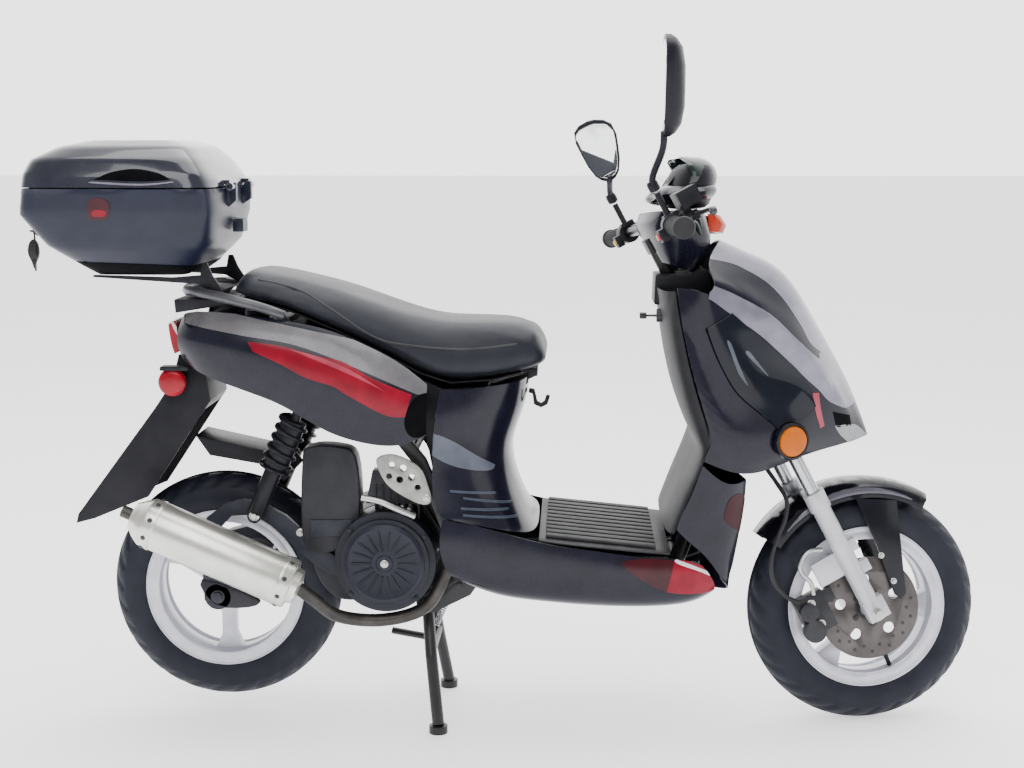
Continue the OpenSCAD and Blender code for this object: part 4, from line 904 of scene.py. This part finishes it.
RAKE_DEG = degrees(RAKE)
RIGHT_HEAD = turn_matrix(4, RAKE_DEG, -8)
RIGHT_HEAD_AT = Vector((48, -270, 152))
RIGHT_HEAD_SIZE = (166, 96)
LEFT_HEAD = turn_matrix(0, RAKE_DEG - 12, 0) @ turn_matrix(0, 0, 62) @ turn_matrix(0, -20, 0)
LEFT_HEAD_AT = Vector((30, 254, 116))
LEFT_HEAD_SIZE = (128, 92)


def right_head(p):
    """A point of the right mirror's head, z up along it and x away from the glass."""
    return steer(*(RIGHT_HEAD_AT + RIGHT_HEAD @ Vector(p)))


def left_head(p):
    """A point of the left mirror's head, z up along it and x away from the glass."""
    return steer(*(LEFT_HEAD_AT + LEFT_HEAD @ Vector(p)))


def half_width(width, z):
    """Half the width of a mirror head at the share z of its height."""
    return width * 0.5 * sqrt(max(0.03, 1 - (2 * z - 1) ** 4)) * (0.6 + 0.5 * z)


def glass(name, node, place, height, width):
    """Flat mirror glass over the open side of a mirror head."""
    bm = bmesh.new()
    rings = []
    for s in (0.9, 0.88):
        ring = []
        for a in round_angles(40):
            z = 0.5 + 0.5 * sin(a)
            y = half_width(width, z) * (1 if cos(a) > 0 else -1) * min(1, abs(cos(a)) * 2.2)
            ring.append(place((-3.4 if s < 0.9 else -2.4, y * s, height * (0.5 + (z - 0.5) * s))))
        rings.append(ring)
    back = [[p + (place((4, 0, 0)) - place((0, 0, 0))) for p in rings[0]]]
    ring_loft(bm, back + rings)
    return from_bmesh(name, bm, "mirror_glass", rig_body(node), sharp=40)


glass("right_mirror_glass", "right_mirror", right_head, *RIGHT_HEAD_SIZE)
glass("left_mirror_glass", "left_mirror", left_head, *LEFT_HEAD_SIZE)


def mirror_shell(name, node, place, height, width, depth, pipe):
    """A mirror head's domed shell with its rim and arm."""
    bm = bmesh.new()
    rings = []
    for u in (-1.0, -0.92, -0.75, -0.4, 0.0, 0.4, 0.75, 0.92, 1.0):
        z = 0.5 + 0.5 * u
        w = half_width(width, z)
        d = depth * sqrt(max(0.05, 1 - (2 * z - 1) ** 4))
        rings.append([place((-1.5 + d * max(cos(a), -0.04) + (2.5 if cos(a) > 0 else 0), w * sin(a),
            height * z)) for a in round_angles(24)])
    ring_loft(bm, rings)
    add_tube(bm, [steer(*p) for p in pipe], 6, 14, 6)
    add_lathe(bm, [(0, 0), (9, 0), (10, 4), (10, 14), (8, 18), (0, 18)], steer(*pipe[0]), STEER_AXIS, 20)
    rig.replaces(from_bmesh(name, bm, "mirror_shell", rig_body(node), sharp=50), node)


mirror_shell("right_mirror_head", "right_mirror", right_head, *RIGHT_HEAD_SIZE, 32,
    [(8, -200, 77), (12, -208, 100), (38, -256, 134), (52, -268, 160)])
mirror_shell("left_mirror_head", "left_mirror", left_head, *LEFT_HEAD_SIZE, 16, [(8, 200, 77), (12, 210, 96),
    (26, 242, 112), (34, 252, 122)])

GRIP_R = 15.2
GRIP_RIB_R = 16.4
GRIP_RIB_PITCH = 5.5
for node, s in (("left_grip", 1), ("throttle_grip", -1)):
    inner = Vector((4.7, s * 222, 11.3))
    outer = Vector((-7, s * 337, 9))
    length = (outer - inner).length
    profile = [(12, 0), (17.5, 0), (17.5, 3), (GRIP_R, 4)]
    h = 8.0
    while h < length - 12:
        profile += [(GRIP_R, h), (GRIP_RIB_R, h + 0.8), (GRIP_RIB_R, h + 2.8), (GRIP_R, h + 3.6)]
        h += GRIP_RIB_PITCH
    profile += [(GRIP_R, length - 9), (18.5, length - 8), (19, length - 3), (17.5, length), (12, length)]
    piece = lathe(node + "_ribbed", profile, steer(*inner), steer(*outer) - steer(*inner), "rubber_black",
        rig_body(node), sides=40)
    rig.replaces(piece, node)

bm = bmesh.new()
for route, r in ((((30, -190, 18), (62, -150, 10), (70, -90, -30), (50, -55, -80)), 3.4),
        (((30, -186, 6), (58, -140, -8), (62, -84, -44), (44, -52, -86)), 3.0),
        (((30, 190, 18), (62, 150, 10), (70, 90, -30), (50, 55, -80)), 3.4)):
    add_tube(bm, [steer(*p) for p in route], r, 10)
from_bmesh("control_cables", bm, "cable_green", STEERING)

# ---------- turn signals ----------

bm_ring = bmesh.new()
bm_dome = bmesh.new()
for s in (-1, 1):
    at = Vector((FRONT_SIGNAL[0], s * FRONT_SIGNAL[1], FRONT_SIGNAL[2]))
    way = Vector((0.407, s * 0.914, 0)).normalized()
    add_lathe(bm_ring, [(SIGNAL_R, -2), (SIGNAL_R + 7, 0), (SIGNAL_R + 7, 6), (SIGNAL_R + 5.5, 9),
        (SIGNAL_R + 1.5, 9.5), (SIGNAL_R + 0.5, 4), (SIGNAL_R, 4)], at, way, 48, True)
    add_lathe(bm_dome, [(0, 2), (SIGNAL_R, 2), (SIGNAL_R, 9), (SIGNAL_R * 0.95, 11.5),
        (SIGNAL_R * 0.8, 13.2), (SIGNAL_R * 0.6, 14), (SIGNAL_R * 0.3, 14.6), (0, 14.8)], at, way, 48)
from_bmesh("front_signal_rings", bm_ring, "black_gloss", CHASSIS)
domes = from_bmesh("front_signal_lenses", bm_dome, "signal_lens", CHASSIS)
bm_red = bmesh.new()
bm_body = bmesh.new()
for s in (-1, 1):
    at = Vector((REAR_SIGNAL[0], s * REAR_SIGNAL[1], REAR_SIGNAL[2]))
    add_lathe(bm_body, [(0, -14), (20, -14), (25, -10), (26, -4), (26, 2), (0, 2)], at, (0, s, 0), 40)
    add_lathe(bm_red, [(0, 1), (25, 1), (25.6, 5), (23, 9), (17, 11.2), (8, 12), (0, 12.2)], at, (0, s, 0),
        40)
    add_block(bm_body, at + Vector((-20, -16 if s < 0 else -14, 22)), (52, 30, 8), bevel=2.5)
from_bmesh("rear_signal_bodies", bm_body, "grey_trim", CHASSIS)
from_bmesh("rear_signal_lenses", bm_red, "red_lens", CHASSIS)
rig.replaces(domes, "turn_signals")

# ---------- floor mat ----------

MAT_RIBS = 11
RIB_PITCH = 30
RIB_SIZE = (196, 20, 5)
FLOOR_FRONT = (84, 0, 374.5)
FLOOR_SLOPE = 5.5
bm = bmesh.new()
for k in range(MAT_RIBS):
    y = RIB_PITCH * (k - (MAT_RIBS - 1) / 2)
    add_block(bm, (-8, y - 10, 0), RIB_SIZE, turn_matrix(0, FLOOR_SLOPE, 0), FLOOR_FRONT, bevel=1.2)
from_bmesh("floor_mat", bm, "mat_rubber", CHASSIS)

# ---------- engine ----------

extrude("air_box", [(-362, 336), (-366, 500), (-352, 525), (-300, 526), (-268, 506), (-262, 410),
    (-276, 350)], -106, -56, "engine_dark", ENGINE, n=4, bevel=6, slot="engine_cast")
extrude("air_box_rib", [(-352, 360), (-354, 392), (-276, 392), (-280, 360)], -109, -104, "engine_cast",
    ENGINE, bevel=2)
extrude("crank_cover", [(-352, 330), (-300, 345), (-240, 330), (-240, 250), (-300, 236), (-340, 270)], -86,
    -52, "engine_dark", ENGINE, n=4, bevel=4, slot="engine_cast")
extrude("oval_cover", [(-224, 515), (-192, 521), (-149, 499), (-134, 468), (-128, 437), (-150, 432),
    (-200, 460), (-221, 491)], -152, -146, "oval_silver", ENGINE, n=4, bevel=1.5,
    holes=((-198, 503, 5), (-178, 497, 6), (-163, 480, 6), (-152, 462, 5), (-184, 476, 6), (-203, 482, 5)))
tube("pulse_pipe", [(-254, -136, 439), (-222, -140, 434), (-190, -140, 420), (-159, -136, 406)], 6.5,
    "bolt_zinc", ENGINE, slot="muffler_silver")
bm = bmesh.new()
for k in range(7):
    add_block(bm, (-236 + 13 * k, -98, 372), (4, 82, 84), bevel=0.8)
from_bmesh("cooling_fins", bm, "engine_dark", ENGINE)
extrude("hub_box", [(-556, 277), (-454, 241), (-470, 224), (-535, 228)], -104, -88, "engine_dark", ENGINE,
    n=3, bevel=3, slot="engine_cast")

FAN_FACE_Y = -138
crank = Vector((CRANK.x, 0, CRANK.z))
lathe("fan_cover", [(0, 0), (60, 0), (70, 2), (72, 6), (66, 9), (56, 6), (40, 5), (16, 6), (14, 8), (0, 8)],
    crank + Vector((0, FAN_FACE_Y, 0)), (0, -1, 0), "fan_grey", ENGINE, sides=72, slot="shroud_black")
bm = bmesh.new()
for a in round_angles(18):
    add_block(bm, (24, -145.5, -1.4), (40, 3, 2.8), Matrix.Rotation(a, 3, "Y"), crank, bevel=0.6)
from_bmesh("fan_cover_ribs", bm, "shroud_black", ENGINE)
bolts("engine_bolts", [((crank.x, -146, crank.z), (0, -1, 0)), ((-291, -87, 263), (0, -1, 0)),
    ((-373, -101.4, 366), (0, -1, 0)), ((-450, -101.4, 412), (0, -1, 0)), ((-136, -152.2, 443), (0, -1, 0))],
    "bolt_zinc", ENGINE, r=4.5, h=5)
bolts("shroud_screws", [((crank.x + 86 * cos(a), -132.4, crank.z + 86 * sin(a)), (0, -1, 0))
    for a in (0.6, 2.4, 3.9, 5.4)], "shroud_black", ENGINE, r=4, h=4)
bolts("left_cover_bolts", [((x, y, z), (0, 1, 0)) for x, y, z in LEFT_BOLTS], "bolt_zinc", ENGINE)

# ---------- exhaust ----------

MUFFLER_R = 44.4
TAIL = Vector((-631, -186, 404))
NOSE = Vector((-376, -186, 292))
along = (NOSE - TAIL).normalized()
length = (NOSE - TAIL).length
muffler = lathe("muffler", [(33, -16), (36, -12), (42, -3), (44.2, 1), (44.2, 10), (45, 12),
    (45, length - 4), (44, length), (41, length + 1.5), (34, length + 2), (31, length + 13),
    (18, length + 17), (10, length + 17)], TAIL, along, "muffler_silver", ENGINE, sides=64)
lathe("muffler_cap", [(0, -28), (20, -28), (24, -27), (34, -14), (36, -6), (34, -4), (0, -4)], TAIL, along,
    "muffler_silver", ENGINE, sides=56)
lathe("muffler_outlet", [(8, -10), (11, -10), (11, -46), (10.5, -48), (9, -48), (8.4, -46)], TAIL, along,
    "pipe_dark", ENGINE, sides=32, closed=True)
bm = bmesh.new()
x_dir, y_dir, _ = axes_for(along)
for end in (10, length - 12):
    for a in round_angles(8):
        out_way = polar(x_dir, y_dir, a + 0.35)
        add_lathe(bm, [(0, 0), (4.6, 0), (4.2, 1.4), (2.4, 2.6), (0, 2.8)], TAIL + along * end
            + out_way * MUFFLER_R, out_way, 12)
from_bmesh("muffler_rivets", bm, "rivet_dark", ENGINE)
bm = bmesh.new()
for h in (15, length - 22):
    add_lathe(bm, [(44.6, h), (46.2, h + 0.6), (46.4, h + 3), (46.2, h + 5.4), (44.6, h + 6)], TAIL, along,
        64, True)
from_bmesh("muffler_bands", bm, "muffler_silver", ENGINE)
pipe_route = [NOSE + 10 * along] + [Vector(p) for p in ((-342, -168, 262), (-300, -130, 218),
    (-220, -110, 206), (-144, -104, 230), (-104, -102, 300), (-92, -84, 350), (-90, -30, 356))]
tube("header_pipe", pipe_route, 12, "pipe_dark", ENGINE, sides=24, steps=6)
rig.replaces(muffler, "exhaust")
extrude("muffler_bracket", [(-470, 352), (-440, 366), (-416, 352), (-430, 330), (-470, 332)], -146, -136,
    "engine_dark", ENGINE, n=3, bevel=1.5, slot="engine_cast")

# ---------- wheels ----------

TYRE_MIDDLE = 171.0
TYRE_SECTION = 44.2
TYRE_STEPS = 180


def tread_depth(k, a):
    """How deep the tread is at step k round the tyre and a degrees from the middle of it."""
    side_cut = int(k + (abs(a) - 16) / 9 + (3 if a < 0 else 0)) % 6 < 1.5
    if 4 < abs(a) < 9:
        return 3.0
    if 16 < abs(a) < 58 and side_cut:
        return 2.6
    return -0.7 if 62 < abs(a) < 66 else 0.0


def tyre(name, node, at, axis, body):
    """A road tyre: rounded carcass with a centre groove and slanted side cuts."""
    x, y, z = axes_for(axis)
    bm = bmesh.new()
    rings = []
    for k, t in enumerate(round_angles(TYRE_STEPS)):
        out_way = polar(x, y, t)
        ring = []
        for a in [-148 + 296 * i / 46 for i in range(47)]:
            r = TYRE_SECTION - tread_depth(k, a)
            b = radians(a)
            ring.append(Vector(at) + out_way * (TYRE_MIDDLE + r * cos(b)) + z * (r * sin(b)))
        rings.append(ring)
    rows = ring_loft(bm, rings, cap=False)
    bridge(bm, rows[-1], rows[0])
    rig.replaces(from_bmesh(name, bm, "tyre", body, sharp=50), node)


tyre("front_tyre_treaded", "front_tyre", FRONT_AXLE, FRONT_AXIS, FRONT)
tyre("rear_tyre_treaded", "rear_tyre", REAR_AXLE, ACROSS, REAR)


def wheel_trim(name, at, axis, body, turn):
    """Rim lips on both sides of a wheel, and its valve at the angle turn."""
    x, y, z = axes_for(axis)
    bm = bmesh.new()
    for s in (-1, 1):
        add_lathe(bm, [(140, 37), (147, 37.5), (149.4, 39.4), (149, 41), (147.4, 41), (146, 39.6),
            (140, 39)], at, z * s, 96, True)
    from_bmesh(name + "_lips", bm, "rim_silver", body)
    way = polar(x, y, turn)
    end = at + way * 100 - z * 21
    bm = bmesh.new()
    add_tube(bm, [at + way * 128 - z * 16, at + way * 116 - z * 19, end], 4.2, 12)
    add_lathe(bm, [(0, 0), (5, 0), (5, 9), (4, 10), (0, 10)], end, way * -1, 16)
    from_bmesh(name + "_valve", bm, "rubber_black", body, slot="tyre")


wheel_trim("front", FRONT_AXLE, FRONT_AXIS, FRONT, radians(65))
wheel_trim("rear", REAR_AXLE, ACROSS, REAR, radians(-35))
DISC_FACE = 52.2
x_dir, y_dir, _ = axes_for(FRONT_AXIS)
bolts("disc_bolts", [(FRONT_AXLE - FRONT_AXIS * DISC_FACE + polar(x_dir, y_dir, a, 30), FRONT_AXIS * -1)
    for a in round_angles(5)], "rivet_dark", FRONT, r=4, h=4.5, slot="disc_steel")
bm = bmesh.new()
for k, a in enumerate(round_angles(30)):
    add_lathe(bm, [(0, -0.4), (3.4, -0.4), (3.4, 0.15), (0, 0.15)], FRONT_AXLE - FRONT_AXIS * DISC_FACE
        + polar(x_dir, y_dir, a, 82 if k % 2 else 72), FRONT_AXIS * -1, 12)
from_bmesh("disc_drillings", bm, "rivet_dark", FRONT, slot="disc_steel")
bolts("front_axle_nuts", [(steer(FORK_OFFSET, s * AXLE_NUT_Y, -AXLE_DROP), LOCAL @ Vector((0, s, 0)))
    for s in (-1, 1)], "bolt_zinc", FORK, r=6.5, h=7)
bolts("rear_axle_nuts", [((REAR_AXLE.x, s * AXLE_NUT_Y, REAR_AXLE.z), (0, s, 0)) for s in (-1, 1)],
    "rivet_dark", ENGINE, r=8, h=7, slot="engine_cast")

# ---------- front fork, fender and brake ----------


def on_wheel(x, y, z):
    """A point x ahead of and z above the front axle with the steering straight, moved to where it rests."""
    return FRONT_AXLE + BACK_TO_REST @ Vector((x, y, z))


def fender_point(a, r, y):
    """A point of the front fender at angle a and radius r round the axle."""
    return on_wheel(r * cos(a), y, r * sin(a))


# Lighter lines along both sides of the front fender: a painted reflection of a softbox.
for s in (-1, 1):
    bm = bmesh.new()
    rings = []
    for i in range(13):
        t = i / 12
        a = radians(69 + 68 * t)
        r0 = 214
        r1 = r0 + 13 * (1.0 - 0.75 * abs(2 * t - 1) ** 2.2)
        rings.append([fender_point(a, r, s * y) for r, y in ((r0, 59.2), ((r0 + r1) / 2, 60.2), (r1, 57.6),
            (r1, 56.0), (r0, 57.0))])
    ring_loft(bm, rings)
    from_bmesh("fender_sky_reflection_%s" % ("left" if s > 0 else "right"), bm, "fender_light", FORK)
bolts("fender_bolts", [(on_wheel(x, s * 60.4, z), LOCAL @ Vector((0, s, 0)))
    for x, z in ((20, 98.6), (44, 50.6)) for s in (-1, 1)], "bolt_zinc", FORK, r=3.6, h=4)
bolts("caliper_bolts", [(steer(FORK_OFFSET - 94, -64.2, rise - AXLE_DROP), LOCAL @ Vector((0, -1, 0)))
    for rise in (22, 64)], "bolt_zinc", FORK)
tube("hose_guard", [on_wheel(x, -66, z) for x, z in ((-94, 112.6), (-119, 109.6), (-135, 88.6), (-131, 68.6),
    (-115, 52.6), (-109, 29.6))], 4.2, "bolt_zinc", FORK, slot="fork_silver")
hose = tube("brake_hose_round", [steer(*p) for p in ((-78, -72, -714), (-96, -76, -690), (-104, -84, -650),
    (-90, -94, -610), (-62, -98, -580), (-34, -98, -556), (-16, -90, -530), (-14, -72, -500),
    (-16, -60, -470), (-16, -54, -448))], 4, "rubber_black", FORK, sides=12)
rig.replaces(hose, "brake_hose")

# ---------- shock absorbers and stand spring ----------

TOP = Vector((-366, 0, 600))
FOOT = Vector((-451, 0, 402))
SHOCK_Y = 118
COIL_TURNS = 5.2
COIL_STEPS = 130
SHOCK_BOLT_Y = 130
SHOCK_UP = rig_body("shock_upper")
SHOCK_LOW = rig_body("shock_lower")


def coil(at, way, low, high, r, turn, steps):
    """A spring's route from low to high along way, which turns by turn at each step."""
    side = way.cross(ACROSS).normalized()
    return [at + way * (low + (high - low) * i / steps) + polar(side, ACROSS, i * turn, r)
        for i in range(steps + 1)]


shock_way = (TOP - FOOT).normalized()
coil_end = (TOP - FOOT).length - 24
for s in (-1, 1):
    foot = FOOT + Vector((0, s * SHOCK_Y, 0))
    tube("shock_coil_%d" % s, coil(foot, shock_way, 96, coil_end, 26, 2 * pi * COIL_TURNS / COIL_STEPS,
        COIL_STEPS), 3.6,
        "shock_black", SHOCK_UP, sides=10, steps=1)
    lathe("shock_seat_%d" % s, [(0, 0), (29, 0), (30, 2), (29, 4), (0, 4)], foot + shock_way * 92, shock_way,
        "shock_black", SHOCK_UP)
for name, at, body in (("shock_top_bolts", TOP, CHASSIS), ("shock_foot_bolts", FOOT, SHOCK_LOW)):
    bolts(name, [(at + Vector((0, s * SHOCK_BOLT_Y, 0)), (0, s, 0)) for s in (-1, 1)], "bolt_zinc", body,
        r=6, h=6)
# The stand spring runs from a lug on the stand to a lug on the frame.
low = Vector((-140, 30, 148))
high = Vector((-110, 30, 214))
way = (high - low).normalized()
route = [low - way * 6 + 2 * way.cross(ACROSS).normalized(), low + way * 2]
route += coil(low, way, 6, 66, 5.2, 0.75, 110) + [high - way * 2, high + way * 5]
spring = tube("stand_spring_coil", route, 1.5, "spring_steel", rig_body("stand_spring"), sides=8, steps=1)
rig.replaces(spring, "stand_spring")

# ---------- tail light ----------

# A painted highlight: a white line down the tail light's red lens.
inlay("tail_highlight", [(-600, 753), (-590, 741), (-569, 697), (-575, 700), (-596, 738)], tail, "graphic_light",
    facing=(-0.6, 0), lift=0.7, n=2)

# ---------- seat ----------

SEAT_SHRINK = 0.004
SEAT_SWELL = 0.006
SEAT_SAG = 0.002
SEAT_SEAM = [(-438, 828), (-364, 810), (-300, 774), (-226, 728), (-162, 714), (-69, 707), (23, 715)]


def seat_cushion():
    """The padded seat: the CAD form drawn in a little, then swelled by cloth pressure."""
    bm = cad_bmesh("seat_pad")
    join_flats(bm)
    obj = subdivided(mesh_object("seat_cushion", bm), 2)
    remesh = obj.modifiers.new("r", "REMESH")
    remesh.mode = "VOXEL"
    remesh.voxel_size = 0.006
    applied(obj)
    start = [v.co.copy() for v in obj.data.vertices]
    for v in obj.data.vertices:
        v.co -= v.normal * SEAT_SHRINK
    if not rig.quick():
        cloth = obj.modifiers.new("c", "CLOTH")
        cloth.settings.use_pressure = True
        cloth.settings.uniform_pressure_force = 4.0
        cloth.settings.effector_weights.gravity = 0
        cloth.settings.quality = 5
        scene = bpy.context.scene
        for k in range(1, 21):
            scene.frame_set(k)
        applied(obj)
        scene.frame_set(1)
        for v, p in zip(obj.data.vertices, start):
            d = v.co - p
            if d.length > SEAT_SWELL:
                v.co = p + d * (SEAT_SWELL / d.length)
            if d.z < -SEAT_SAG:
                v.co.z = p.z - SEAT_SAG
    else:
        for v, p in zip(obj.data.vertices, start):
            v.co = p
    for poly in obj.data.polygons:
        poly.use_smooth = True
    smooth = obj.modifiers.new("m", "SMOOTH")
    smooth.iterations = 4
    subdivided(obj, 0 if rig.quick() else 1)
    finish(obj, "seat_vinyl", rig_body("seat_pad"))
    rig.replaces(obj, "seat_pad")
    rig.padded(obj, fill=0.7)
    return obj


pad = seat_cushion()
for side, tag in SIDES:
    seam = [(x, surface_y(pad, x, z, side), z) for x, z in SEAT_SEAM]
    tube("seat_piping_" + tag, [p for p in seam if p[1] is not None], 2.2, "thread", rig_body("seat_pad"),
        sides=10, steps=8)

# ---------- studio ----------


def studio():
    """A white floor, a soft sky that is brighter behind the scooter, and four soft lamps."""
    world = bpy.data.worlds.new("studio")
    bpy.context.scene.world = world
    world.use_nodes = True
    tree = world.node_tree
    way = add_node(tree, "TexCoord")
    parts = add_node(tree, "SeparateXYZ")
    glow = add_node(tree, "MapRange", From_Min=-0.3, From_Max=0.8, To_Min=0.55, To_Max=3.0)
    glow.interpolation_type = "SMOOTHSTEP"
    set_inputs(tree.nodes["Background"], Color=(1.0, 1.0, 1.0, 1))
    tree.links.new(way.outputs["Generated"], parts.inputs["Vector"])
    tree.links.new(parts.outputs["Y"], glow.inputs["Value"])
    tree.links.new(glow.outputs["Result"], tree.nodes["Background"].inputs["Strength"])
    mesh = bpy.data.meshes.new("studio_floor")
    mesh.from_pydata([(-60, -60, 0), (60, -60, 0), (60, 60, 0), (-60, 60, 0)], [], [(0, 1, 2, 3)])
    ground = added("studio_floor", mesh)
    ground.location.z = -0.0005
    white = material("floor_white", (0.90, 0.90, 0.91), (0.93, 0.93, 0.94), 0.7, scale=2, emission=0.9)
    mesh.materials.append(white)
    stage = [ground]
    for name, at, to, size, power in (("key", (-0.6, -3.2, 3.4), (0, 0, 0.5), 2.6, 95),
            ("top", (0.3, 0.4, 4.2), (0, 0, 0.4), 3.4, 150), ("front", (3.8, -2.0, 1.8), (0.3, 0, 0.6), 2.2,
            28), ("back", (-3.6, 2.4, 2.2), (0, 0, 0.6), 2.4, 14)):
        light = bpy.data.lights.new(name, "AREA")
        light.shape = "SQUARE"
        light.size = size
        light.energy = power
        lamp = added(name, light)
        lamp.location = at
        lamp.rotation_euler = (Vector(to) - Vector(at)).to_track_quat("-Z", "Y").to_euler()
        stage.append(lamp)
    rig.stage(*stage)


def photo_camera():
    """The camera, off the right side and a little from the front."""
    azimuth = radians(2.2)
    elevation = radians(8.3)
    distance = 3.0
    target = Vector((0.010, 0, 0.627))
    away = Vector((sin(azimuth) * cos(elevation), -cos(azimuth) * cos(elevation), sin(elevation)))
    data = bpy.data.cameras.new("camera")
    data.lens = 56.9
    cam = added("camera", data)
    cam.location = target + distance * away
    cam.rotation_euler = (-away).to_track_quat("-Z", "Y").to_euler()
    bpy.context.scene.camera = cam


studio()
photo_camera()

with open("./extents.json", "w") as out:
    json.dump({"cad": [list(v) for v in cad_bounds], "visual": [list(v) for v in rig.bounds()]}, out)
